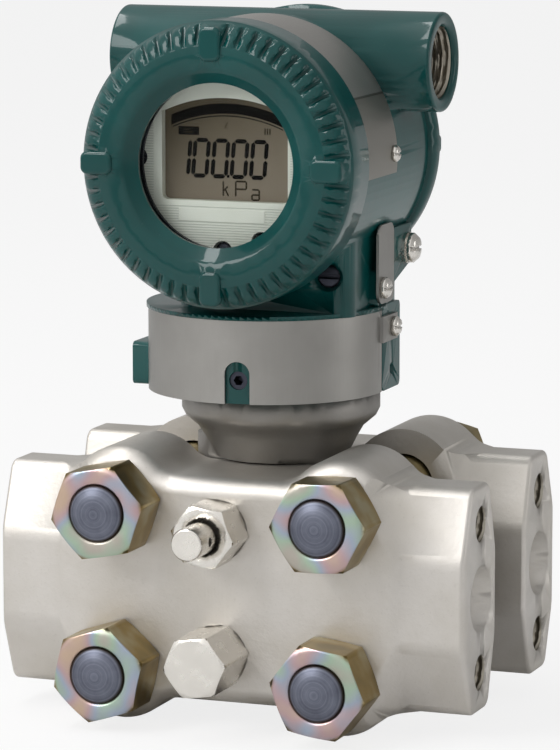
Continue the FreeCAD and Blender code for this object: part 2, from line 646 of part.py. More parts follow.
def drain_plug():
    """Plain hexagon plug with a turned end face."""
    z, seat = PORT_Z - VENT_Z, -FLANGE_FRONT + PLUG_SEAT_DEPTH
    head = chamfered_hexagon(PLUG_AF, DRAIN_HEX_LENGTH, (PLUG_X, seat, z), FRONT, DRAIN_TURN, PLUG_FACE_R,
                             both=True)
    return fuse([head, plug_shank(z)])


# ---------------------------------------------------------------- amplifier housing

def amplifier_housing():
    """Casting: barrel along Y, conduit tube along X, pedestal and round base over the neck."""
    barrel = rod(BARREL_R, BARREL_BACK - BARREL_FRONT, (0, BARREL_FRONT, COVER_Z), Y_AXIS)
    tube = rod(TUBE_R, 2 * TUBE_HALF, (-TUBE_HALF, TUBE_Y, TUBE_Z), X_AXIS)
    tube = tube.makeFillet(TUBE_EDGE_R, [e for e in tube.Edges if e.BoundBox.XLength < TOUCH])
    pedestal = rounded_block(-PEDESTAL_LEFT, PEDESTAL_RIGHT, PEDESTAL_FRONT, PEDESTAL_BACK,
                             BASE_TOP_Z, COVER_Z - BARREL_R * 0.4, PEDESTAL_R)
    base = rod(BASE_R, BASE_TOP_Z - BASE_Z, (0, BASE_Y, BASE_Z), Z_AXIS)
    skirt = rod(BASE_BACK_R, BASE_TOP_Z - BASE_Z, (0, 0, BASE_Z), Z_AXIS)
    collar = rod(BASE_R + BAND_THICK + 0.5, BASE_LEDGE, (0, BASE_Y, BASE_TOP_Z), Z_AXIS)
    left_lug = rounded_block(LUG_LEFT_X, -BASE_R + 4, LUG_LEFT_FRONT, LUG_LEFT_BACK,
                             BASE_Z, BASE_Z + LUG_LEFT_HEIGHT, PAD_R, X_AXIS)
    foot = rounded_block(BASE_R - 10, SIDE_X, FOOT_FRONT, FOOT_BACK, BASE_Z, BASE_TOP_Z + 1, PAD_R, X_AXIS)
    tag_pad = rounded_block(BASE_R - 8, SIDE_X, TAG_SCREW_Y - 3, TAG_SCREW_Y + 7,
                            TAG_SCREW_Z - TAG_PAD_HALF, TAG_SCREW_Z + TAG_PAD_HALF, PAD_R, X_AXIS)
    body = fuse([barrel, tube, pedestal, base, skirt, collar, left_lug, foot, tag_pad, ground_lug_shape()])
    front_length = PARTITION_Y - BARREL_FRONT
    rear_start = PARTITION_Y + PARTITION_THICK
    cuts = [
        rod(BARREL_BORE_R, front_length, (0, BARREL_FRONT, COVER_Z), Y_AXIS),
        rod(BARREL_BORE_R, BARREL_BACK - rear_start, (0, rear_start, COVER_Z), Y_AXIS),
        rod(SEAL_SINK_R, SEAL_SINK_DEPTH, (0, BARREL_FRONT, COVER_Z), Y_AXIS),
        rod(SEAL_SINK_R, SEAL_SINK_DEPTH, (0, BARREL_BACK, COVER_Z), FRONT),
        rod(SPIGOT_R + RUN_FIT, SPIGOT_LENGTH + 1.5, (0, 0, NECK_TOP_Z), Z_AXIS),
        rod(CABLE_PASS_R, CABLE_PASS_LENGTH, (0, CABLE_PASS_Y, BASE_Z + 10), Z_AXIS),
        rod(NECK_SCREW_R + THREAD_FIT, BASE_R, (NECK_SCREW_X, BASE_Y - BASE_R - 1, NECK_SCREW_Z), Y_AXIS),
        rod(ZERO_R + RUN_FIT, ZERO_HOLE_DEPTH, (ZERO_X, PEDESTAL_FRONT - BREAK, ZERO_Z), Y_AXIS),
        rod(ZERO_SINK_R, ZERO_SINK_DEPTH, (ZERO_X, PEDESTAL_FRONT, ZERO_Z), Y_AXIS),
        rod(SMALL_SCREW_R + THREAD_FIT, SMALL_HOLE_DEPTH, (SIDE_X, TAG_SCREW_Y, TAG_SCREW_Z), X_AXIS * -1),
        rod(SMALL_SCREW_R + THREAD_FIT, SMALL_HOLE_DEPTH, (SIDE_X, BAND_SCREW_Y, BAND_SCREW_Z), X_AXIS * -1),
        rod(GROUND_SCREW_R + THREAD_FIT, GROUND_HOLE_DEPTH, (SIDE_X, GROUND_Y, GROUND_Z), X_AXIS * -1),
        rod(SIDE_THREAD_R, SIDE_THREAD_DEPTH, (SIDE_X, SIDE_THREAD_Y, SIDE_THREAD_Z), X_AXIS * -1),
    ]
    for sign in (-1, 1):
        mouth = (sign * TUBE_HALF, TUBE_Y, TUBE_Z)
        inward = X_AXIS * -sign
        cuts.append(rod(ENTRY_R, ENTRY_DEPTH, mouth, inward))
        cuts.append(rod(ENTRY_PASS_R, TUBE_HALF - 4, mouth, inward))
        cuts.append(turned([(0, 0), (ENTRY_MOUTH_R, 0), (ENTRY_R, MOUTH_DEPTH), (0, MOUTH_DEPTH)],
                           mouth, inward))
    body = body.cut(cuts)
    for screw_turn in NAME_SCREW_TURNS:
        body = body.cut(rod(SMALL_SCREW_R + THREAD_FIT, NAME_HOLE_DEPTH, on_barrel(screw_turn, BARREL_R),
                            inward_at(screw_turn)))
    return body


def ground_lug_shape():
    """Lug with a slanted underside that carries the ground terminal."""
    y0, y1 = GROUND_LUG_FRONT, BARREL_BACK - CLEAR
    low, high = GROUND_Z - GROUND_LUG_FALL, GROUND_Z + GROUND_LUG_RISE
    points = [V(SIDE_X, y0, low - GROUND_LUG_SLANT), V(SIDE_X, y1, low), V(SIDE_X, y1, high),
              V(SIDE_X, y0, high)]
    return Part.Face(Part.makePolygon(points + points[:1])).extrude(V(-LUG_DEPTH, 0, 0))


def on_barrel(turn, radius):
    """Point on the barrel at an angle from its top, at the name plate's screw line."""
    a = math.radians(turn)
    return (radius * math.sin(a), NAME_SCREW_Y, COVER_Z + radius * math.cos(a))


def inward_at(turn):
    a = math.radians(turn)
    return V(-math.sin(a), 0, -math.cos(a))


def base_band():
    """Stainless strip round the front of the base, with an arched notch over the neck screw."""
    outer = rod(BASE_R + BAND_THICK, BASE_TOP_Z - BASE_Z, (0, BASE_Y, BASE_Z), Z_AXIS)
    inner = rod(BASE_R, BASE_TOP_Z - BASE_Z, (0, BASE_Y, BASE_Z), Z_AXIS)
    band = outer.cut(inner)
    far = 2 * BASE_R
    behind = block(-far, far, BAND_END_Y, far, BASE_Z - BREAK, BASE_TOP_Z + BREAK)
    beside = block(LUG_LEFT_X - BREAK, 0, LUG_LEFT_FRONT - CLEAR, LUG_LEFT_BACK, BASE_Z - BREAK,
                   BASE_Z + LUG_LEFT_HEIGHT + CLEAR)
    arch_z, front = NECK_SCREW_Z + NOTCH_RISE, BASE_Y - BASE_R - 2 * BAND_THICK
    x0, x1 = NECK_SCREW_X - NOTCH_R, NECK_SCREW_X + NOTCH_R
    notch = fuse([block(x0, x1, front, BASE_Y, BASE_Z - BREAK, arch_z),
                  rod(NOTCH_R, BASE_Y - front, (NECK_SCREW_X, front, arch_z), Y_AXIS)])
    low, high = BAND_SCREW_Z - BAND_TAB_HALF, BAND_SCREW_Z + BAND_TAB_HALF
    start, end = FOOT_FRONT - 2 * BAND_THICK, BAND_SCREW_Y + BAND_TAB_BACK
    tab = block(SIDE_X, SIDE_X + BAND_THICK, start, end, low, high)
    joggle = block(BASE_R, SIDE_X + BAND_THICK, start, FOOT_FRONT - BAND_THICK, low, high)
    hole = rod(SMALL_SCREW_R + THREAD_FIT, BAND_THICK + 2 * BREAK,
               (SIDE_X - BREAK, BAND_SCREW_Y, BAND_SCREW_Z), X_AXIS)
    solid = band.cut([behind, beside, notch])
    keep = solid.fuse([tab, joggle]).cut([hole, inner])
    return keep.removeSplitter()


def name_plate():
    """Stainless strip bent over the top of the barrel."""
    radius = BARREL_R + PLATE_THICK
    width = NAME_PLATE_BACK - NAME_PLATE_FRONT
    strip = Part.makeCylinder(radius, width, V(0, NAME_PLATE_FRONT, COVER_Z), Y_AXIS)
    strip = strip.cut(Part.makeCylinder(BARREL_R, width, V(0, NAME_PLATE_FRONT, COVER_Z), Y_AXIS))
    a0, a1 = math.radians(NAME_PLATE_LEFT), math.radians(NAME_PLATE_RIGHT)
    far = 2 * radius
    corners = [V(0, NAME_PLATE_FRONT - 1, COVER_Z)]
    for i in range(9):
        a = a0 + (a1 - a0) * i / 8
        corners.append(V(far * math.sin(a), NAME_PLATE_FRONT - 1, COVER_Z + far * math.cos(a)))
    wedge = Part.Face(Part.makePolygon(corners + corners[:1])).extrude(V(0, width + 2, 0))
    strip = strip.common(wedge)
    tube = rod(TUBE_R + 0.1, 4 * TUBE_R, (-2 * TUBE_R, TUBE_Y, TUBE_Z), X_AXIS)
    for turn in NAME_SCREW_TURNS:
        strip = strip.cut(rod(SMALL_SCREW_R + THREAD_FIT, 4, on_barrel(turn, radius + 2), inward_at(turn)))
    return strip.cut(tube)


def name_plate_screws():
    pieces = []
    for turn in NAME_SCREW_TURNS:
        seat = on_barrel(turn, BARREL_R + PLATE_THICK)
        pieces.append(pan_screw(seat, inward_at(turn) * -1, NAME_HEAD, SMALL_SCREW_R, NAME_HOLE_DEPTH))
    return pieces


def tag_plate():
    """Upright stainless tag on the right-hand side, rounded at its top."""
    plate = rounded_block(SIDE_X, SIDE_X + TAG_THICK, TAG_FRONT, TAG_BACK, TAG_SCREW_Z - TAG_FOOT, TAG_TOP_Z,
                          TAG_R, X_AXIS)
    return plate.cut(rod(SMALL_SCREW_R + THREAD_FIT, TAG_THICK + 2 * BREAK,
                         (SIDE_X - BREAK, TAG_SCREW_Y, TAG_SCREW_Z), X_AXIS))


def lock_washer(outer, inner, start, direction, split):
    """Spring washer, split on one side."""
    body = pipe(outer, inner, WASHER_THICK, start, direction)
    x, y, z = start
    gap = block(x - 2, x + 2, y - split / 2, y + split / 2, z + inner * 0.5, z + outer + 1)
    return body.cut(gap)


# ---------------------------------------------------------------- covers

def cover_outline(depth, face_inner):
    """Outer half outline of a cover: face, rolled shoulder and rim, as (radius, place)."""
    shoulder = COVER_R - COVER_FACE_R
    points = [(face_inner, depth), (COVER_FACE_R, depth)]
    for i in range(1, 7):
        a = math.pi / 2 * i / 6
        points.append((COVER_FACE_R + shoulder * 0.92 * math.sin(a),
                       depth - SHOULDER_DROP * (1 - math.cos(a))))
    return points + [(COVER_R, depth - SHOULDER_DROP - 0.8), (COVER_R, 0)]


def flute_cutter(turn, depth):
    """Round-bottomed slot that runs down the shoulder of a cover standing on Z."""
    a = math.radians(turn)
    r0, r1 = COVER_FACE_R + FLUTE_START, COVER_R + FLUTE_RUN
    start = V(r0 * math.cos(a), r0 * math.sin(a), depth + FLUTE_R * 0.3)
    end = V(r1 * math.cos(a), r1 * math.sin(a), depth - SHOULDER_DROP - FLUTE_R * 0.5)
    return Part.makeCylinder(FLUTE_R, (end - start).Length, start, end - start)


def cover_shell(depth, face_inner, inner_outline):
    """Cover standing on Z with its face up: turned shell, four lugs and the flutes between them."""
    outer = cover_outline(depth, face_inner)
    body = turned(outer + inner_outline, (0, 0, 0), Z_AXIS)
    low = depth - LUG_HEIGHT
    for i in range(4):
        lug = rounded_block(LUG_INNER_R, LUG_OUTER_R, -LUG_WIDTH / 2, LUG_WIDTH / 2,
                            low, depth + LUG_PROUD, LUG_R)
        top = [e for e in lug.Edges if abs(e.BoundBox.ZMin - depth - LUG_PROUD) < TOUCH]
        lug = lug.makeFillet(LUG_TOP_R, top)
        body = body.fuse(lug.rotate(V(0, 0, 0), Z_AXIS, 90 * i))
    cutters = []
    pitch = 360.0 / FLUTES
    for i in range(FLUTES):
        turn = pitch * i
        off = abs((turn + 45) % 90 - 45)
        if off > math.degrees(LUG_WIDTH / 2 / COVER_R) + 1.5:
            cutters.append(flute_cutter(turn, depth))
    return body.cut(cutters)


def facing(shape, y, direction):
    """Stand a piece made on Z at place y of the barrel axis, with its top towards the direction."""
    out = shape.copy()
    out.rotate(V(0, 0, 0), X_AXIS, 90 if direction.y < 0 else -90)
    out.translate(V(0, y, COVER_Z))
    return out


def spigot_outline():
    """Threaded spigot of a cover, with the seal's groove at its root."""
    radius = BARREL_BORE_R - THREAD_CLEAR
    groove_r = SEAL_R - SEAL_SECTION_R - CLEAR
    groove_end = -(SEAL_SINK_DEPTH + COVER_GAP + CLEAR)
    return [(groove_r, 0), (groove_r, groove_end), (radius, groove_end), (radius, -COVER_THREAD_LENGTH),
            (radius - SPIGOT_WALL, -COVER_THREAD_LENGTH)]


def front_cover():
    """Ring cover with a window: funnel, glass pocket and a threaded spigot."""
    depth = COVER_DEPTH
    lip_top = depth - FUNNEL_DEPTH
    seat = lip_top - LIP
    spigot_r = BARREL_BORE_R - THREAD_CLEAR
    inner = spigot_outline() + [
             (spigot_r - SPIGOT_WALL, seat - POCKET_DEPTH),
             (GLASS_R + CLEAR, seat - POCKET_DEPTH), (GLASS_R + CLEAR, seat),
             (WINDOW_R, seat), (WINDOW_R, lip_top)]
    return facing(cover_shell(depth, FUNNEL_R, inner), BARREL_FRONT - COVER_GAP, FRONT)


def rear_cover():
    """Blank cover over the terminal compartment."""
    depth = REAR_COVER_DEPTH
    spigot_r = BARREL_BORE_R - THREAD_CLEAR
    inner = spigot_outline() + [
             (spigot_r - SPIGOT_WALL, depth - REAR_FACE_THICK), (0, depth - REAR_FACE_THICK),
             (0, depth - REAR_FACE_DISH), (FUNNEL_R - 2 * REAR_FACE_DISH, depth - REAR_FACE_DISH)]
    return facing(cover_shell(depth, FUNNEL_R, inner), BARREL_BACK + COVER_GAP, Y_AXIS)


def window_glass():
    return rod(GLASS_R, GLASS_THICK, (0, GLASS_SEAT_Y, COVER_Z), Y_AXIS)


def glass_retainer():
    """Snap ring that holds the window in its pocket."""
    start = (0, GLASS_SEAT_Y + GLASS_THICK, COVER_Z)
    return pipe(GLASS_R + CLEAR, GLASS_R - 2.6, RETAINER_THICK, start, Y_AXIS)


def cover_seal(y):
    return ring(SEAL_R, SEAL_SECTION_R, (0, y, COVER_Z), Y_AXIS)


# ---------------------------------------------------------------- display and boards

def lcd_outline(grow, y):
    """Screen outline: straight sides and foot, rounded lower corners, arched top."""
    w, low = LCD_WIDTH / 2 + grow, COVER_Z + LCD_Z - LCD_HEIGHT / 2 - grow
    r = LCD_CORNER_R + grow
    s = r * (1 - math.sqrt(0.5))
    high = COVER_Z + LCD_Z + LCD_HEIGHT / 2 - LCD_ARCH + grow
    left, right, top = V(-w, y, high), V(w, y, high), V(0, y, high + LCD_ARCH)
    edges = [Part.LineSegment(V(-w + r, y, low), V(w - r, y, low)).toShape(),
             Part.Arc(V(w - r, y, low), V(w - s, y, low + s), V(w, y, low + r)).toShape(),
             Part.LineSegment(V(w, y, low + r), right).toShape(),
             Part.Arc(right, top, left).toShape(),
             Part.LineSegment(left, V(-w, y, low + r)).toShape(),
             Part.Arc(V(-w, y, low + r), V(-w + s, y, low + s), V(-w + r, y, low)).toShape()]
    return Part.Face(Part.Wire(edges))


def lcd_bezel():
    """Round face plate with the screen's window and three screw holes."""
    plate = rod(BEZEL_R, BEZEL_THICK, (0, BEZEL_FACE, COVER_Z), Y_AXIS)
    window = lcd_outline(0, BEZEL_FACE - 1).extrude(V(0, BEZEL_THICK + 2, 0))
    holes = [rod(BEZEL_HOLE_R, BEZEL_THICK + 2 * BREAK, (x, BEZEL_FACE - BREAK, COVER_Z + z), Y_AXIS)
             for x, z in BEZEL_HOLES]
    return plate.cut([window] + holes)


def lcd_panel():
    return lcd_outline(0.8, BEZEL_FACE + BEZEL_THICK).extrude(V(0, LCD_THICK, 0))


def lcd_case():
    """Dish behind the bezel that holds the screen."""
    front = BEZEL_FACE + BEZEL_THICK
    dish = rod(BEZEL_R, CASE_DEPTH, (0, front, COVER_Z), Y_AXIS)
    pocket = lcd_outline(1.0, front - 1).extrude(V(0, LCD_THICK + 1, 0))
    hollow = rod(BEZEL_R - CASE_WALL, CASE_DEPTH, (0, front + LCD_THICK + CASE_FLOOR, COVER_Z), Y_AXIS)
    holes = [rod(CASE_SCREW_R, CASE_DEPTH + 2 * BREAK, (x, front - BREAK, COVER_Z + z), Y_AXIS)
             for x, z in BEZEL_HOLES]
    bosses = [rod(BEZEL_HOLE_R + 0.6, CASE_DEPTH, (x, front, COVER_Z + z), Y_AXIS) for x, z in BEZEL_HOLES]
    body = fuse([dish.cut(hollow)] + bosses)
    return body.cut([pocket] + holes)


def bezel_screws():
    front = BEZEL_FACE + BEZEL_THICK
    return [pan_screw((x, front, COVER_Z + z), FRONT, BEZEL_HEAD, BEZEL_SHANK_R, CASE_DEPTH)
            for x, z in BEZEL_HOLES]


def circuit_board(y, radius, parts):
    """Round board with its components as blocks on the front side: (x, z, width, height, lift)."""
    board = rod(radius, BOARD_THICK, (0, y, COVER_Z), Y_AXIS)
    chips = [block(x - w / 2, x + w / 2, y - lift, y, COVER_Z + z - h / 2, COVER_Z + z + h / 2)
             for x, z, w, h, lift in parts]
    return fuse([board] + chips)


def board_spacers():
    """Hexagon pillars between the partition and the display case."""
    start = BEZEL_FACE + BEZEL_THICK + CASE_DEPTH + BOARD_THICK
    pieces = []
    for i in range(3):
        a = math.radians(90 + 120 * i)
        x, z = PILLAR_R * math.cos(a), COVER_Z + PILLAR_R * math.sin(a)
        pieces.append(hexagon(PILLAR_AF, CPU_BOARD_Y - start, (x, start, z), Y_AXIS))
        pieces.append(hexagon(PILLAR_AF, PARTITION_Y - CPU_BOARD_Y - BOARD_THICK,
                              (x, CPU_BOARD_Y + BOARD_THICK, z), Y_AXIS))
    return pieces


def terminal_block():
    """Moulded block with walls between the wire clamps."""
    y0 = PARTITION_Y + PARTITION_THICK
    y1 = y0 + TERMINAL_BLOCK_THICK
    z0, z1 = COVER_Z - TERMINAL_HALF, COVER_Z + TERMINAL_RISE
    body = rounded_block(-TERMINAL_HALF, TERMINAL_HALF, y0, y1, z0, z1, TERMINAL_BLOCK_R, Y_AXIS)
    walls = [block(x - TERMINAL_WALL_HALF, x + TERMINAL_WALL_HALF, y1, y1 + TERMINAL_WALL_HEIGHT,
                   z0 + 6, z1 - 6) for x in TERMINAL_WALLS]
    holes = [rod(TERMINAL_R + THREAD_FIT, TERMINAL_BLOCK_THICK, (x, y0 + 1.2, z), Y_AXIS)
             for x, z in TERMINALS]
    return fuse([body] + walls).cut(holes)


def terminal_screws():
    y1 = PARTITION_Y + PARTITION_THICK + TERMINAL_BLOCK_THICK
    return [pan_screw((x, y1, z), Y_AXIS, TERMINAL_HEAD, TERMINAL_R, TERMINAL_SHANK) for x, z in TERMINALS]


# ---------------------------------------------------------------- small parts of the housing

def neck_screw():
    """Socket set screw that locks the housing on the spigot."""
    front = BASE_Y - BASE_R + SET_SCREW_BACK
    body = rod(NECK_SCREW_R, -SPIGOT_R - CLEAR - front, (NECK_SCREW_X, front, NECK_SCREW_Z), Y_AXIS)
    return body.cut(hexagon(SET_SCREW_AF, SET_SCREW_DEPTH, (NECK_SCREW_X, front, NECK_SCREW_Z), Y_AXIS))


def zero_screw():
    """Zero-adjustment screw in its recess, with a driver slot."""
    face = PEDESTAL_FRONT + ZERO_SET_BACK
    body = turned([(0, 0), (ZERO_R - ZERO_EDGE, 0), (ZERO_R, ZERO_EDGE), (ZERO_R, ZERO_LENGTH),
                   (0, ZERO_LENGTH)], (ZERO_X, face, ZERO_Z), Y_AXIS)
    slot = block(ZERO_X - ZERO_R, ZERO_X + ZERO_R, face - BREAK, face + ZERO_SLOT_DEPTH,
                 ZERO_Z - ZERO_SLOT / 2, ZERO_Z + ZERO_SLOT / 2)
    return body.cut(slot)


def blanking_plug():
    """Plug in the unused conduit entry, with a hexagon socket."""
    length, radius = BLANKING_LENGTH, ENTRY_R - THREAD_FIT
    start = (-TUBE_HALF + PLUG_SET_BACK, TUBE_Y, TUBE_Z)
    body = turned([(0, 0), (ENTRY_R - PLUG_EDGE, 0), (radius, PLUG_EDGE), (radius, length), (0, length)],
                  start, X_AXIS)
    return body.cut(hexagon(SOCKET_AF, SOCKET_DEPTH, start, X_AXIS))


flange = cover_flange()
save("cover_flange_front", [flange])
save("cover_flange_rear", [mirrored(flange)])
save("flange_bolts", bolts())
save("flange_nuts", nuts())
save("capsule_body", [capsule_body()])
for side, place in (("front", lambda s: s), ("rear", mirrored)):
    save("capsule_gasket_" + side, [place(capsule_gasket())])
    save("isolating_diaphragm_" + side, [place(diaphragm())])
    save("vent_body_" + side, [place(vent_body())])
    save("vent_screw_" + side, [place(vent_screw())])
    save("drain_plug_" + side, [place(drain_plug())])
save("pressure_sensor", [pressure_sensor()])
save("neck_seal", [ring(SPIGOT_R - RING_SECTION_R - CLEAR, RING_SECTION_R, (0, 0, NECK_RING_Z), Z_AXIS)])
save("amplifier_housing", [amplifier_housing()])
save("base_band", [base_band()])
save("name_plate", [name_plate()])
save("name_plate_screws", name_plate_screws())
save("tag_plate", [tag_plate()])
save("tag_screw", [pan_screw((SIDE_X + TAG_THICK, TAG_SCREW_Y, TAG_SCREW_Z), X_AXIS, TAG_HEAD,
                             SMALL_SCREW_R, SMALL_HOLE_DEPTH)])
save("band_screw", [pan_screw((SIDE_X + BAND_THICK, BAND_SCREW_Y, BAND_SCREW_Z), X_AXIS, BAND_HEAD,
                              SMALL_SCREW_R, SMALL_HOLE_DEPTH)])
save("ground_screw", [pan_screw((SIDE_X + WASHER_THICK, GROUND_Y, GROUND_Z), X_AXIS, GROUND_HEAD,
                                GROUND_SCREW_R, GROUND_HOLE_DEPTH)])
save("ground_washer", [lock_washer(GROUND_WASHER_R, GROUND_SCREW_R + 0.2, (SIDE_X, GROUND_Y, GROUND_Z),
                                   X_AXIS, GROUND_WASHER_SPLIT)])
save("neck_set_screw", [neck_screw()])
save("zero_adjust_screw", [zero_screw()])
save("conduit_blanking_plug", [blanking_plug()])
save("front_cover", [front_cover()])
save("window_glass", [window_glass()])
save("glass_retainer", [glass_retainer()])
save("front_cover_seal", [cover_seal(BARREL_FRONT + SEAL_SINK_DEPTH / 2 - COVER_GAP / 2)])
save("rear_cover", [rear_cover()])
save("rear_cover_seal", [cover_seal(BARREL_BACK - SEAL_SINK_DEPTH / 2 + COVER_GAP / 2)])
save("lcd_bezel", [lcd_bezel()])
save("lcd_panel", [lcd_panel()])
save("lcd_case", [lcd_case()])
save("bezel_screws", bezel_screws())
save("display_board", [circuit_board(BEZEL_FACE + BEZEL_THICK + CASE_DEPTH, BOARD_R, [])])
save("cpu_board", [circuit_board(CPU_BOARD_Y, BOARD_R, CHIPS)])
save("board_spacers", board_spacers())
save("terminal_block", [terminal_block()])
save("terminal_screws", terminal_screws())
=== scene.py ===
"""Looks of the differential pressure transmitter: finishes, threads, markings, light and camera.

The scene is in metres, Z up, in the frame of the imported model; places and sizes are written in millimetres
and scaled by MM.  The construction's pieces are kept; those whose curved faces need a finer surface are
covered by a smooth skin of the same shape.
"""
import json
import math

import bpy
import numpy as np
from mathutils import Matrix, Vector


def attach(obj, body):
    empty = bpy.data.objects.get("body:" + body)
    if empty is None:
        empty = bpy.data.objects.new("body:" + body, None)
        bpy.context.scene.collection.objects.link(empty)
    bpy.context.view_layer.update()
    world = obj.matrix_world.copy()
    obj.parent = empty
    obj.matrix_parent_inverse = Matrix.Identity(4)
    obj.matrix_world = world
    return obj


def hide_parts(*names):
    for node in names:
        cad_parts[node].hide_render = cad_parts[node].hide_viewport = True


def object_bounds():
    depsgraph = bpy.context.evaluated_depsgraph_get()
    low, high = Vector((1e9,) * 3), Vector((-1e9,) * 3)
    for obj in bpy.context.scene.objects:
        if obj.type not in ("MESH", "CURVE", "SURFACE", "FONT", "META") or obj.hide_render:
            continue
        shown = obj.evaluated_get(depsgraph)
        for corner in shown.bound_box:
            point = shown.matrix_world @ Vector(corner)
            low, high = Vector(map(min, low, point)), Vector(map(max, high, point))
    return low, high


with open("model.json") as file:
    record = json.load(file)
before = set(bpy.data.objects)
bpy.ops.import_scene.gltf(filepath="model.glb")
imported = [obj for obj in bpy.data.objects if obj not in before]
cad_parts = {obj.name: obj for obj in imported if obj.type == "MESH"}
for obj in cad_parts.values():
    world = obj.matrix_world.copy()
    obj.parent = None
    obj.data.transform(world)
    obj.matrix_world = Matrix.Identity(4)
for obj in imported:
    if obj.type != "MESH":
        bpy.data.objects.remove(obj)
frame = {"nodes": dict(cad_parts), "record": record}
cad_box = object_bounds()
nodes = frame["nodes"]
slot_of = {part["node"]: part["material_slot"] for part in frame["record"]["subparts"]}
body_of = {node: body for body, members in frame["record"]["behaviour"]["bodies"].items() for node in members}

MM = 0.001
DEGREE = math.radians(1)

# Places of the construction, millimetres
END_X = 68.1                     # right-hand end faces of the flanges
PORT_Y, PORT_Z = 27.0, 38.4      # port axes: from the middle, and above the feet
PORT_RECESS = 5.2                # from the end face to the port's thread
END_HOLE_Z = 20.65               # threaded holes above and below the port
BOLT_X, BOLT_Z = 32.0, 22.6      # flange bolts: from the middle, and from the port axes
NUT_FACE_Y = -58.7               # where the nuts' flats end and their turned faces begin
BOLT_END_Y = -56.25              # where the bolts' plating ends and their dark ends begin
BOLT_CHAMFER_R = 7.35
COVER_Z = 156.6                  # axis of the round covers
PLATE_R = 38.6                   # outside of the name plate
TUBE_END = 47.1                  # right-hand end of the conduit tube
TUBE_Y, TUBE_Z = 1.9, 181.9
BEZEL_X = -0.9                   # middle of the display frame's pattern
SCREEN_Y = -41.4                 # front face of the screen


# ---------------------------------------------------------------- materials: nodes as expressions

class Signal:
    """A number that varies over a surface; arithmetic with it adds Math nodes."""

    def __init__(self, finish, socket):
        self.finish, self.socket = finish, socket

    def __add__(self, other):
        return self.finish.math("ADD", self, other)

    __radd__ = __add__

    def __sub__(self, other):
        return self.finish.math("SUBTRACT", self, other)

    def __rsub__(self, other):
        return self.finish.math("SUBTRACT", other, self)

    def __mul__(self, other):
        return self.finish.math("MULTIPLY", self, other)

    __rmul__ = __mul__

    def between(self, low, high):
        """0 below low, 1 above high, smooth in between; low may be the larger one."""
        made = self.finish.node("ShaderNodeMapRange", {"interpolation_type": "SMOOTHSTEP"},
                                {"Value": self, "From Min": low, "From Max": high})
        return Signal(self.finish, made.outputs["Result"])

    def above(self, edge, soft):
        """1 above an edge and 0 below it; the edge and its softness to each side are in millimetres."""
        return self.between((edge - soft) * MM, (edge + soft) * MM)

    def below(self, edge, soft):
        return self.between((edge + soft) * MM, (edge - soft) * MM)


class Graph:
    """The nodes of a material or of the world."""

    def __init__(self, owner):
        owner.use_nodes = True
        self.tree = owner.node_tree
        self.tree.nodes.clear()

    def node(self, kind, settings=None, sockets=None):
        """Add a node: its settings first, then the values or links of its sockets."""
        made = self.tree.nodes.new(kind)
        for name, value in (settings or {}).items():
            if name == "stops":
                ramp = made.color_ramp
                for place, _ in value[2:]:
                    ramp.elements.new(place)
                for element, (place, colour) in zip(ramp.elements, sorted(value)):
                    element.position, element.color = place, (*colour, 1)
            else:
                setattr(made, name, value)
        for name, value in (sockets or {}).items():
            self.join(made.inputs[name], value)
        return made

    def join(self, socket, value):
        value = value.socket if isinstance(value, Signal) else value
        if isinstance(value, bpy.types.NodeSocket):
            self.tree.links.new(value, socket)
        else:
            socket.default_value = (*value, 1) if socket.type == "RGBA" and len(value) == 3 else value

    def math(self, operation, a, b=0.0):
        made = self.node("ShaderNodeMath", {"operation": operation}, {0: a, 1: b})
        return Signal(self, made.outputs[0])

    def parts(self, where=None):
        """The x, y and z of a place as three signals."""
        made = self.node("ShaderNodeSeparateXYZ", None, {0: where or self.place})
        return [Signal(self, s) for s in made.outputs]

    def blend(self, amount, first, second):
        """Shader between two: first where the amount is 0, second where it is 1."""
        return self.node("ShaderNodeMixShader", None, {0: amount, 1: first, 2: second}).outputs[0]


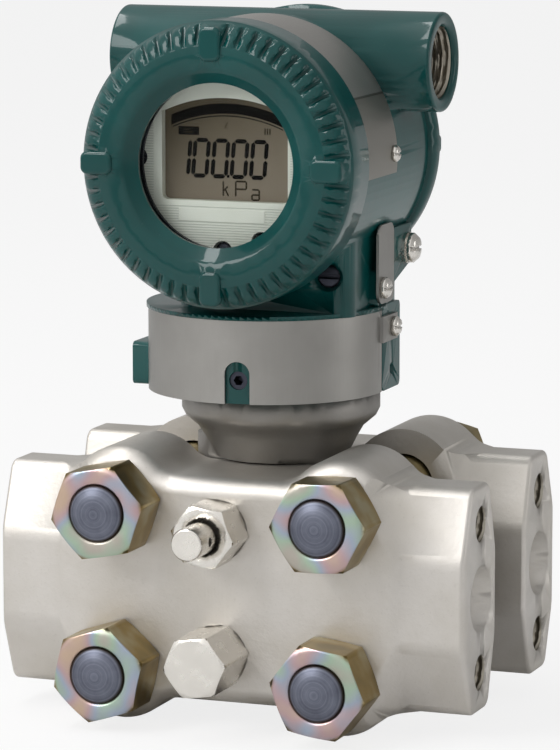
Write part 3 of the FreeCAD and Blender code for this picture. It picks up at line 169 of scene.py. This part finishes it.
class Finish(Graph):
    """One material: a Principled shader whose sockets take numbers, colours or signals."""

    def __init__(self, name, **constants):
        self.material = bpy.data.materials.new(name)
        super().__init__(self.material)
        self.shader = self.node("ShaderNodeBsdfPrincipled")
        self.output = self.node("ShaderNodeOutputMaterial", None, {"Surface": self.shader.outputs["BSDF"]})
        self.place = self.node("ShaderNodeTexCoord").outputs["Object"]
        self.set(**constants)

    def set(self, **sockets):
        """Give the shader's sockets, named in lower case with underscores, their values or links."""
        for name, value in sockets.items():
            self.join(self.shader.inputs[name.replace("_", " ").title().replace("Ior", "IOR")], value)

    def noise(self, scale, detail=2.0, roughness=0.5, where=None):
        """Cloudy noise of 0 to 1; the scale is in patches per metre."""
        made = self.node("ShaderNodeTexNoise", None, {"Vector": where or self.place, "Scale": scale,
                                                      "Detail": detail, "Roughness": roughness})
        return Signal(self, made.outputs["Fac"])

    def cells(self, scale):
        """Distance to the nearest of many scattered points."""
        made = self.node("ShaderNodeTexVoronoi", {"feature": "F1"}, {"Vector": self.place, "Scale": scale})
        return Signal(self, made.outputs["Distance"])

    def mapped(self, centre=(0, 0, 0), stretch=(1, 1, 1)):
        """Object coordinates moved so that centre is the origin, then stretched."""
        back = tuple(-c for c in centre)
        moved = self.node("ShaderNodeMapping", None, {"Vector": self.place, "Location": back})
        return self.node("ShaderNodeMapping", None, {"Vector": moved.outputs[0], "Scale": stretch}).outputs[0]

    def bolt_radius(self):
        """Distance from the axis of the nearest of the four flange bolts."""
        x, _, z = self.parts()
        across = self.math("ABSOLUTE", x) - BOLT_X * MM
        up = self.math("ABSOLUTE", z - PORT_Z * MM) - BOLT_Z * MM
        return self.math("SQRT", across * across + up * up)

    def line(self, amount):
        """A place that moves with one signal only, for rings and lines."""
        return self.node("ShaderNodeCombineXYZ", None, {0: amount}).outputs[0]

    def stripes(self, amount, pitch):
        """0 to 1 and back once every pitch."""
        return self.math("SINE", amount * (2 * math.pi / (pitch * MM))) * 0.5 + 0.5

    def mix(self, amount, first, second):
        """Colour between two: first where the amount is 0, second where it is 1."""
        made = self.node("ShaderNodeMix", {"data_type": "RGBA"}, {0: amount, 6: first, 7: second})
        return made.outputs[2]

    def ramp(self, amount, *stops):
        """Colour read from (place, colour) stops."""
        return self.node("ShaderNodeValToRGB", {"stops": list(stops)}, {"Fac": amount}).outputs["Color"]

    def bump(self, height, distance, strength):
        """Normal of a surface whose relief follows the height; the distance is in metres."""
        sockets = {"Height": height, "Distance": distance, "Strength": strength}
        return self.node("ShaderNodeBump", None, sockets).outputs["Normal"]


def shade(*rgb):
    """Linear colour from 0-255 display values."""
    return tuple(((c / 255 + 0.055) / 1.055) ** 2.4 if c > 10 else c / 255 / 12.92 for c in rgb)


def enamel():
    """Teal two-coat paint: slight orange peel, thinner and paler in places, a little dust."""
    f = Finish("teal_enamel", coat_weight=0.5, coat_roughness=0.05, roughness=0.3, specular_ior_level=0.12)
    drift = f.noise(40, 3)
    dust = f.noise(900, 4, 0.7).between(0.64, 0.8)
    base = f.mix(drift.between(0.35, 0.7), shade(4, 64, 62), shade(9, 74, 72))
    f.set(base_color=f.mix(dust * 0.1, base, shade(110, 140, 138)))
    f.set(roughness=0.27 + drift * 0.1)
    f.set(normal=f.bump(f.noise(420, 2) + f.noise(110, 1) * 1.5, 0.00004, 0.35))
    return f.material


def cast_steel(name="blasted_cast_stainless", depth=1.0):
    """Shot-blasted stainless casting: fine grain, faint cloudy staining; a depth below 1 darkens it all as
    painted shade.
    """
    f = Finish(name, metallic=0.8, roughness=0.45)
    cloud = f.noise(28, 4, 0.6)
    grain = f.noise(1500, 3, 0.7)
    pits = f.cells(700)
    tint = f.mix(cloud.between(0.3, 0.75), shade(196 * depth, 191 * depth, 183 * depth),
                 shade(212 * depth, 208 * depth, 203 * depth))
    f.set(base_color=f.mix(grain.between(0.55, 0.8) * 0.25, tint, shade(160, 154, 145)))
    f.set(roughness=0.4 + cloud * 0.14)
    f.set(normal=f.bump(grain + pits * 0.6 + cloud * 0.8, 0.00008, 0.5))
    return f.material


RING_PITCH = 0.35


def turned_steel(name, axis, colour=(214, 210, 203), rough=0.2):
    """Bright machined stainless: fine rings round axis 0, 1 or 2."""
    f = Finish(name, metallic=1.0, roughness=rough)
    smear = f.noise(240, 2)
    f.set(base_color=f.mix(smear, shade(*colour), shade(*[min(255, c + 22) for c in colour])))
    f.set(roughness=rough + smear * 0.12)
    rings = f.mapped(stretch=tuple(1.0 if i == axis else 0.05 for i in range(3)))
    f.set(normal=f.bump(f.noise(1 / (RING_PITCH * MM), 1, 0.5, rings), 0.00003, 0.35))
    return f.material


def sheet_steel(name, colour, rough, along):
    """Rolled stainless sheet: long fine scratches along one axis."""
    f = Finish(name, metallic=1.0, roughness=rough)
    scratches = f.mapped(stretch=tuple(0.06 if i == along else 1.0 for i in range(3)))
    lines = f.noise(2600, 3, 0.6, scratches)
    cloud = f.noise(60, 3)
    f.set(base_color=f.mix(cloud, shade(*colour), shade(*[max(0, c - 24) for c in colour])))
    f.set(roughness=rough + lines * 0.08 + cloud * 0.05)
    f.set(normal=f.bump(lines, 0.00002, 0.5))
    return f.material


def label_plate():
    """Etched stainless name plate: fine woven ground, a rule line, a plain darker field at its right."""
    f = Finish("etched_name_plate", metallic=0.9, roughness=0.42)
    x, y, z = f.parts()
    turn = f.math("ARCTAN2", x, z - COVER_Z * MM)
    field = turn.between(62.3 * DEGREE, 62.8 * DEGREE)
    rule = turn.between(61.9 * DEGREE, 62.2 * DEGREE) * turn.between(63.2 * DEGREE, 62.9 * DEGREE)
    round_plate = turn * (PLATE_R * MM)
    weave = f.stripes(round_plate + y, 0.8) * f.stripes(round_plate - y, 0.8)
    cloud = f.noise(60, 3)
    ground = f.mix(weave, shade(158, 156, 152), shade(184, 181, 176))
    ground = f.mix(field, ground, f.mix(cloud, shade(138, 136, 130), shade(152, 149, 142)))
    f.set(base_color=f.mix(rule * 0.7, ground, shade(70, 66, 60)))
    f.set(roughness=0.36 + cloud * 0.12)
    f.set(normal=f.bump(weave + cloud * 0.5, 0.00003, 0.5))
    return f.material


ELSEWHERE = (0.3, 0.1, 0.2)      # metres; noise read from there has nothing in common with the noise here


def nut_zinc():
    """Yellow-chromated zinc: pastel interference tints on the turned face, olive and gold on the flats."""
    f = Finish("chromated_nut", metallic=1.0, roughness=0.3)
    _, y, _ = f.parts()
    face = y.below(NUT_FACE_Y, 0.4)
    drift, blush = f.noise(75, 1, 0.4), f.noise(90, 2, 0.5, f.mapped(ELSEWHERE))
    pastel = f.ramp(drift, (0.3, shade(196, 172, 152)), (0.7, shade(176, 170, 160)),
                    (0.4, shade(186, 160, 162)), (0.5, shade(160, 170, 186)), (0.6, shade(164, 184, 164)))
    flats = f.ramp(blush, (0.32, shade(122, 106, 64)), (0.68, shade(170, 160, 128)),
                   (0.5, shade(150, 128, 74)))
    rings = f.noise(3000, 1, 0.5, f.line(f.bolt_radius()))
    f.set(base_color=f.mix(face, flats, pastel))
    f.set(roughness=0.24 + drift * 0.2)
    f.set(normal=f.bump(rings * face + f.noise(900, 3) * 0.6, 0.00004, 0.4))
    return f.material


def bolt_steel():
    """Yellow-plated bolt with dark oiled ends that show their turning rings."""
    f = Finish("dark_bolt_steel", metallic=0.75, roughness=0.34)
    radius = f.bolt_radius()
    _, y, _ = f.parts()
    rings = f.noise(1600, 2, 0.6, f.line(radius))
    smear = f.noise(160, 3, 0.6)
    colour = f.mix((rings * 0.6 + smear * 0.4).between(0.3, 0.7), shade(82, 85, 98), shade(118, 122, 136))
    colour = f.mix(radius.above(BOLT_CHAMFER_R, 0.45), colour, shade(52, 42, 36))
    gold = f.mix(smear.between(0.3, 0.7), shade(116, 102, 62), shade(152, 136, 92))
    f.set(base_color=f.mix(y.below(BOLT_END_Y, 0.25), gold, colour))
    f.set(roughness=0.3 + smear * 0.2)
    f.set(normal=f.bump(rings, 0.00006, 0.6))
    return f.material


def bezel_plastic():
    """Pale moulded display frame: fine level ribs with painted shade in their grooves, a smooth border and a
    smooth bare name field.
    """
    f = Finish("ribbed_display_frame", roughness=0.42)
    x, _, z = f.parts()
    x, z = f.math("ABSOLUTE", x - BEZEL_X * MM), z - COVER_Z * MM
    border = x.below(19.8, 0.2) * z.above(-11.75, 0.15)
    field = x.below(12.5, 0.1) * z.above(-16.0, 0.1) * z.below(-12.5, 0.1)
    ribs = f.stripes(z, 0.7)
    smooth = f.math("MAXIMUM", border, field)
    groove = ribs.between(0.55, 0.15) * (1 - smooth)
    drift = f.noise(50, 3)
    ground = f.mix(drift.between(0.3, 0.7), shade(240, 240, 230), shade(234, 234, 222))
    # the grooves between the ribs are darkened in colour as painted shade
    f.set(base_color=f.mix(groove * 0.45, ground, shade(176, 180, 168)))
    f.set(roughness=0.4 + drift * 0.1)
    f.set(normal=f.bump(field * 1.2 - groove + f.noise(1600, 2) * 0.1, 0.00012, 0.7))
    return f.material


def screen():
    """Reflective liquid-crystal panel: warm grey, with a painted shadow of the window's edge darkening it
    towards its upper left.
    """
    f = Finish("screen_glass", roughness=0.3, specular_ior_level=0.08)
    x, _, z = f.parts()
    # painted shadow: the panel darkens towards its upper left, where the window's edge shades it
    painted_shadow = ((z - COVER_Z * MM) * 20 - x * 9 + 0.3).between(0.0, 0.75)
    drift = f.noise(90, 2)
    f.set(base_color=f.mix(painted_shadow, shade(136, 124, 110), shade(92, 82, 66)))
    f.set(roughness=0.28 + drift * 0.08)
    f.set(normal=f.bump(drift, 0.00002, 0.2))
    return f.material


def plain(name, colour, rough, metallic=0.0, other=None, **constants):
    """Moulded or painted stuff: slight drift of colour and gloss, fine texture."""
    f = Finish(name, metallic=metallic, roughness=rough, **constants)
    drift = f.noise(50, 3)
    other = other or tuple(max(0, c - 14) for c in colour)
    f.set(base_color=f.mix(drift.between(0.3, 0.7), shade(*colour), shade(*other)))
    f.set(roughness=rough + drift * 0.1)
    f.set(normal=f.bump(f.noise(900, 2), 0.00003, 0.5))
    return f.material


def glass():
    """Window glass: clear, with the gloss of its two faces."""
    f = Finish("window_glass", base_color=(1, 1, 1), roughness=0.02)
    edge = f.node("ShaderNodeFresnel", None, {"IOR": 1.14}).outputs[0]
    clear = f.node("ShaderNodeBsdfTransparent", None, {"Color": (0.97, 0.985, 0.98)}).outputs[0]
    wave = f.bump(f.noise(30, 1), 0.00005, 0.2)
    gloss = f.node("ShaderNodeBsdfGlossy", None, {"Roughness": 0.02, "Normal": wave}).outputs[0]
    f.join(f.output.inputs["Surface"], f.blend(edge, clear, gloss))
    return f.material


FINISHES = {
    "green_paint": enamel(),
    "cast_stainless": cast_steel(),
    "bright_stainless": turned_steel("bright_turned_stainless", 1),
    "satin_stainless": sheet_steel("satin_sheet_stainless", (164, 162, 158), 0.34, 2),
    "yellow_zinc": nut_zinc(),
    "dark_steel": plain("dark_oiled_steel", (62, 64, 74), 0.34, 0.9, other=(48, 48, 54)),
    "window_glass": glass(),
    "black_rubber": plain("black_rubber", (28, 28, 28), 0.6),
    "seal_plastic": plain("seal_plastic", (232, 230, 222), 0.4),
    "pale_plastic": bezel_plastic(),
    "lcd_screen": screen(),
    "green_board": plain("green_board", (34, 84, 52), 0.4),
    "black_plastic": plain("black_plastic", (30, 30, 32), 0.45),
}
NAME_PLATE = label_plate()
BOLT_STEEL = bolt_steel()
# the capsule casting darkened all over as painted shade, for the shadow under the housing's base
SHADED_CASTING = cast_steel("shaded_cast_stainless", 0.72)
INK = plain("screen_ink", (14, 11, 9), 0.5, specular_ior_level=0.05)
GREY_INK = plain("screen_faint_ink", (62, 55, 44), 0.5, specular_ior_level=0.05)
BAR_GROUND = plain("screen_bar_ground", (26, 21, 16), 0.5, specular_ior_level=0.05)
THREAD_STEEL = turned_steel("threaded_steel", 0, (150, 144, 132), 0.3)

for name, node in nodes.items():
    node.data.materials.clear()
    node.data.materials.append(FINISHES[slot_of[name]])


# ---------------------------------------------------------------- meshes

def piece(name, points, faces, body, finish, sharp):
    """A piece from its points (millimetres) and faces; edges sharper than the angle in degrees stay sharp."""
    mesh = bpy.data.meshes.new(name)
    mesh.from_pydata(points * MM, [], faces)
    mesh.shade_smooth()
    mesh.set_sharp_from_angle(angle=sharp * DEGREE)
    mesh.materials.append(finish)
    made = bpy.data.objects.new(name, mesh)
    bpy.context.scene.collection.objects.link(made)
    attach(made, body)
    return made


SKIN_SHARP = 28.0        # degrees
WELD_REACH = 1e-6        # metres


def skin(node, finish=None):
    """Smooth skin of one of the construction's pieces: its triangles joined, rounded faces shaded round."""
    made = bpy.data.objects.new(node + "_skin", nodes[node].data.copy())
    bpy.context.scene.collection.objects.link(made)
    made.modifiers.new("weld", "WELD").merge_threshold = WELD_REACH
    bpy.context.view_layer.update()
    welded = bpy.data.meshes.new_from_object(made.evaluated_get(bpy.context.evaluated_depsgraph_get()))
    made.modifiers.clear()
    made.data = welded
    welded.name = node + "_skin"
    welded.shade_smooth()
    welded.set_sharp_from_angle(angle=SKIN_SHARP * DEGREE)
    made.modifiers.new("even", "WEIGHTED_NORMAL").keep_sharp = True
    if finish:
        welded.materials.clear()
        welded.materials.append(finish)
    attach(made, body_of[node])
    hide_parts(node)
    return made


for node in ("amplifier_housing", "front_cover", "rear_cover", "cover_flange_front", "cover_flange_rear",
             "base_band", "vent_body_front", "vent_body_rear", "flange_nuts",
             "vent_screw_front", "vent_screw_rear", "drain_plug_front", "drain_plug_rear",
             "name_plate_screws", "tag_screw", "band_screw", "ground_screw",
             "ground_washer", "tag_plate", "neck_set_screw", "zero_adjust_screw", "conduit_blanking_plug"):
    skin(node)
skin("name_plate", NAME_PLATE)
skin("flange_bolts", BOLT_STEEL)
# the capsule takes the darkened casting: painted shade
skin("capsule_body", SHADED_CASTING)


# ---------------------------------------------------------------- threads in the open holes

THREAD_STEPS = 64        # points round the axis
THREAD_ROWS = 8          # points along the axis for each pitch
THREAD_CREST = 0.55      # width of the ridge, in pitches
THREAD_RUN_IN = 0.8      # the ridge grows over this many pitches from the mouth


def tube_faces(rows, columns):
    """Quads of a grid of points whose columns close round into a tube."""
    i, j = [a.ravel() for a in np.meshgrid(np.arange(rows - 1), np.arange(columns), indexing="ij")]
    after = (j + 1) % columns
    here, beyond = i * columns, (i + 1) * columns
    return np.stack([here + j, beyond + j, beyond + after, here + after], 1).tolist()


def thread(name, mouth, radius, depth, length, pitch, body):
    """Inside thread that runs from its mouth towards -X.

    At a distance h from the mouth and a turn t round the axis the radius is the bore's, less depth times
    a ridge.  The ridge is a flat-topped hat of the fraction of h / pitch + t, so it climbs one pitch a turn.
    """
    h = np.linspace(0, length, int(length / pitch * THREAD_ROWS) + 1)[:, None]
    turn = np.linspace(0, 2 * math.pi, THREAD_STEPS, endpoint=False)[None, :]
    phase = (h / pitch + turn / (2 * math.pi)) % 1
    ridge = np.clip(1.5 * (1 - np.abs(2 * phase - 1) / THREAD_CREST), 0, 1)
    r = radius - depth * ridge * np.clip(h / (THREAD_RUN_IN * pitch), 0, 1)
    points = np.stack([-h + 0 * turn, r * np.sin(turn), -r * np.cos(turn)], -1).reshape(-1, 3) + mouth
    return piece(name, points, tube_faces(len(h), THREAD_STEPS), body, THREAD_STEEL, 50)


for side, y in (("front", -PORT_Y), ("rear", PORT_Y)):
    thread(f"port_thread_{side}", (END_X - PORT_RECESS, y, PORT_Z), 5.85, 0.55, 12.5, 1.34, "base")
    for level, z in (("low", PORT_Z - END_HOLE_Z), ("high", PORT_Z + END_HOLE_Z)):
        thread(f"bolt_thread_{side}_{level}", (END_X - 0.5, y, z), 5.08, 0.6, 18.5, 1.8, "base")
thread("conduit_thread", (TUBE_END - 1.3, TUBE_Y, TUBE_Z), 9.85, 0.8, 14.6, 1.8, "housing")


# ---------------------------------------------------------------- display markings

# Places on the screen are (x, height above the cover axis).
MARK_LIFT = 0.03         # marks stand this far in front of the screen
MARK_SINK = 0.01         # and reach this far into it
DIGIT_WIDTH, DIGIT_HEIGHT, DIGIT_FOOT = 3.9, 9.7, -3.8
DIGIT_STROKE = 0.6       # half the width of a segment
DIGIT_GAP = 0.12         # free at each end of a segment
DIGIT_LEAN = 0.085       # to the right, for each millimetre of height
DIGIT_CENTRES = (-13.55, -8.2, -2.55, 3.0, 8.6)
CORNERS = {"tl": (-DIGIT_WIDTH / 2, DIGIT_HEIGHT), "tr": (DIGIT_WIDTH / 2, DIGIT_HEIGHT),
           "ml": (-DIGIT_WIDTH / 2, DIGIT_HEIGHT / 2), "mr": (DIGIT_WIDTH / 2, DIGIT_HEIGHT / 2),
           "bl": (-DIGIT_WIDTH / 2, 0.0), "br": (DIGIT_WIDTH / 2, 0.0)}
SEGMENTS = {"a": ("tl", "tr"), "b": ("tr", "mr"), "c": ("mr", "br"), "d": ("bl", "br"), "e": ("ml", "bl"),
            "f": ("tl", "ml")}
LIT = {"0": "abcdef", "1": "bc"}
ARCH_R = 40.0
BAR_COUNT, BAR_PITCH, BAR_LEFT, BAR_HALF = 43, 0.735, -15.6, 0.32


def inlay(name, outlines, lift=MARK_LIFT, finish=INK):
    """Flat marks on the screen: each outline carried straight forwards, closed at the front.

    The front ring lies at the screen's face less the lift, the back ring just inside the screen.
    """
    rings, faces, start = [], [], 0
    for outline in map(np.asarray, outlines):
        count = len(outline)
        for y in (SCREEN_Y - lift, SCREEN_Y + MARK_SINK):
            rings.append(np.column_stack([outline[:, 0], np.full(count, y), COVER_Z + outline[:, 1]]))
        front = start + np.arange(count)
        after = start + (np.arange(count) + 1) % count
        faces += [front.tolist()] + np.column_stack([front, front + count, after + count, after]).tolist()
        start += 2 * count
    return piece(name, np.concatenate(rings), faces, body_of["lcd_panel"], finish, 20)


def block(x, z, width, height):
    """Upright rectangle from its lower left corner."""
    return np.array([(x, z), (x + width, z), (x + width, z + height), (x, z + height)])


def stroke(start, end, half, gap=0.0):
    """Bar from start to end less a gap at each, half as wide to each side, with pointed ends."""
    start, end = np.array(start, float), np.array(end, float)
    along = (end - start) / np.linalg.norm(end - start)
    across = np.array([-along[1], along[0]]) * half
    tip, tail = start + along * gap, end - along * gap
    inner, outer = tip + along * half, tail - along * half
    return np.array([inner - across, outer - across, tail, outer + across, inner + across, tip])


def leaning(outline, centre):
    """An outline slanted to the right and set on the digits' foot line at its centre."""
    x, z = outline.T
    return np.column_stack([centre + x + z * DIGIT_LEAN, DIGIT_FOOT + z])


def arch(foot, thick, left, right, steps=24):
    """Strip along an arch: its lower edge is foot - R + sqrt(R^2 - x^2), its upper edge lies thick above."""
    x = np.linspace(left, right, steps)
    low = foot - ARCH_R + np.sqrt(ARCH_R ** 2 - x ** 2)
    return np.column_stack([np.concatenate([x, x[::-1]]), np.concatenate([low, low[::-1] + thick])])


def pen(letters, foot, size, width):
    """Small letters, (offset, strokes) each, whose strokes are drawn on a grid that is six high."""
    unit = size / 6
    return [stroke((offset + x0 * unit, foot + z0 * unit), (offset + x1 * unit, foot + z1 * unit), width / 2)
            for offset, strokes in letters for x0, z0, x1, z1 in strokes]


LETTER_K = [(0, 0, 0, 6), (0, 2, 2, 4), (0.8, 2.8, 2.2, 0)]
LETTER_P = [(0, 0, 0, 6), (0, 6, 4.4, 6), (4.4, 6, 4.4, 3), (4.4, 3, 0, 3)]
LETTER_A = [(0, 4, 3, 4), (3, 4, 3, 0), (3, 0, 0, 0), (0, 0, 0, 2), (0, 2, 3, 2)]
PERCENT = [(0, 0, 3, 6), (0, 6, 1, 6), (0, 5, 1, 5), (2, 1, 3, 1), (2, 0, 3, 0)]



def segment(letter, centre):
    """One lit segment of the digit that stands at the centre."""
    start, end = [CORNERS[corner] for corner in SEGMENTS[letter]]
    return leaning(stroke(start, end, DIGIT_STROKE, DIGIT_GAP), centre)


segments = [segment(letter, centre) for centre, digit in zip(DIGIT_CENTRES, "10000") for letter in LIT[digit]]
decimal_point = leaning(block(-0.4, -0.3, 0.8, 0.8), 0.1)
inlay("display_digits", segments + [decimal_point])
inlay("display_bar_graph", [arch(13.4, 2.5, x - BAR_HALF, x + BAR_HALF, 2)
                            for x in BAR_LEFT + BAR_PITCH * np.arange(BAR_COUNT)])
inlay("display_bar_ground", [arch(13.25, 2.8, -16.4, 16.4)], 0.012, BAR_GROUND)
inlay("display_scale_line", [arch(12.5, 0.3, -16.0, 16.0)])
inlay("display_mode_tag", [block(-14.3, 7.2, 6.0, 2.3)])
inlay("display_mode_mark", [block(-12.6, 7.8, 2.4, 0.35), block(-12.6, 8.5, 1.6, 0.35)], 0.05, GREY_INK)
inlay("display_unit", pen([(-1.3, LETTER_K), (2.3, LETTER_P)], -9.2, 4.2, 0.5)
      + pen([(7.0, LETTER_A)], -9.9, 4.2, 0.5), finish=GREY_INK)
inlay("display_percent", pen([(-0.9, PERCENT)], 9.2, 1.8, 0.3), finish=GREY_INK)
inlay("display_steps", [block(x, 7.9, 0.4, 1.7) for x in (10.6, 11.3, 12.0)], finish=GREY_INK)


# ---------------------------------------------------------------- floor, light and camera

FLOOR_HALF = 9.0         # metres
FLOOR_GLOW = 0.82        # how far the floor shows as the background does; the rest takes light and shadow


def floor_finish():
    """White floor that shows as the background does and still keeps a soft shadow."""
    f = Finish("floor_white", base_color=(0.86, 0.86, 0.86), roughness=0.9)
    ray = f.node("ShaderNodeLightPath")
    seen = Signal(f, ray.outputs["Is Camera Ray"]) * FLOOR_GLOW
    glow = f.node("ShaderNodeEmission", None, {"Color": (1, 1, 1, 1), "Strength": 1.0}).outputs[0]
    f.join(f.output.inputs["Surface"], f.blend(seen, f.shader.outputs[0], glow))
    return f.material


def floor():
    """One large square at the height of the object's feet."""
    mesh = bpy.data.meshes.new("floor")
    corners = np.array([(-1, -1, 0), (1, -1, 0), (1, 1, 0), (-1, 1, 0)]) * FLOOR_HALF + (0, 0, cad_box[0].z)
    mesh.from_pydata(corners, [], [(0, 1, 2, 3)])
    mesh.materials.append(floor_finish())
    made = bpy.data.objects.new("floor", mesh)
    bpy.context.scene.collection.objects.link(made)


DIFFUSE_LIGHT = 0.42
GLOSS_DIM, GLOSS_BRIGHT = 0.34, 0.9


def studio():
    """White behind the object; gloss sees a bright side at the front left and above, a dimmer right."""
    world = bpy.data.worlds.new("studio")
    bpy.context.scene.world = world
    g = Graph(world)
    ray = g.node("ShaderNodeLightPath").outputs
    x, y, z = g.parts(g.node("ShaderNodeTexCoord").outputs["Generated"])

    def plain_light(strength):
        return g.node("ShaderNodeBackground", None, {"Color": (1, 1, 1), "Strength": strength}).outputs[0]

    side = (x * -0.62 + y * -0.72 + z * 0.5).between(-0.3, 0.6)
    gloss = g.blend(side, plain_light(GLOSS_DIM), plain_light(GLOSS_BRIGHT))
    seen = g.math("MAXIMUM", Signal(g, ray["Is Camera Ray"]), Signal(g, ray["Is Transmission Ray"]))
    around = g.blend(ray["Is Glossy Ray"], plain_light(DIFFUSE_LIGHT), gloss)
    g.node("ShaderNodeOutputWorld", None, {"Surface": g.blend(seen, around, plain_light(1.0))})


def lamp(name, place, aim, size, power):
    """Soft white rectangular lamp at place, turned to aim; metres and watts."""
    data = bpy.data.lights.new(name, "AREA")
    data.shape, data.size, data.size_y = "RECTANGLE", size[0], size[1]
    data.energy = power
    made = bpy.data.objects.new(name, data)
    made.location = place
    made.rotation_euler = (Vector(aim) - Vector(place)).to_track_quat("-Z", "Y").to_euler()
    bpy.context.scene.collection.objects.link(made)


CAMERA_TARGET = Vector((-0.00036, 0.0, 0.09247))
CAMERA_AZIMUTH, CAMERA_ELEVATION = 20.45 * DEGREE, 8.77 * DEGREE
CAMERA_DISTANCE = 1.17844
SENSOR_WIDTH, FOCAL_LENGTH = 36.0, 200.55        # millimetres, as the camera takes them


def camera():
    """Camera on a sphere round its target: the azimuth runs from -Y towards +X, the elevation upwards."""
    level = math.cos(CAMERA_ELEVATION)
    toward = Vector((level * math.sin(CAMERA_AZIMUTH), -level * math.cos(CAMERA_AZIMUTH),
                     math.sin(CAMERA_ELEVATION)))
    lens = bpy.data.cameras.new("camera")
    lens.sensor_width, lens.lens = SENSOR_WIDTH, FOCAL_LENGTH
    lens.clip_start, lens.clip_end = 0.05, 50.0
    made = bpy.data.objects.new("camera", lens)
    made.location = CAMERA_TARGET + toward * CAMERA_DISTANCE
    made.rotation_euler = (-toward).to_track_quat("-Z", "Y").to_euler()
    bpy.context.scene.collection.objects.link(made)
    bpy.context.scene.camera = made


floor()
studio()
OBJECT_MIDDLE = (0.0, 0.0, 0.10)
lamp("key", (-0.75, -1.05, 0.95), OBJECT_MIDDLE, (0.7, 0.7), 10.0)
lamp("top", (-0.45, -0.15, 1.35), (0.0, -0.15, 0.10), (1.1, 0.22), 6.5)
lamp("fill", (1.35, 0.25, 0.35), OBJECT_MIDDLE, (0.5, 0.9), 2.4)
camera()
bpy.context.scene.view_settings.view_transform = "Standard"
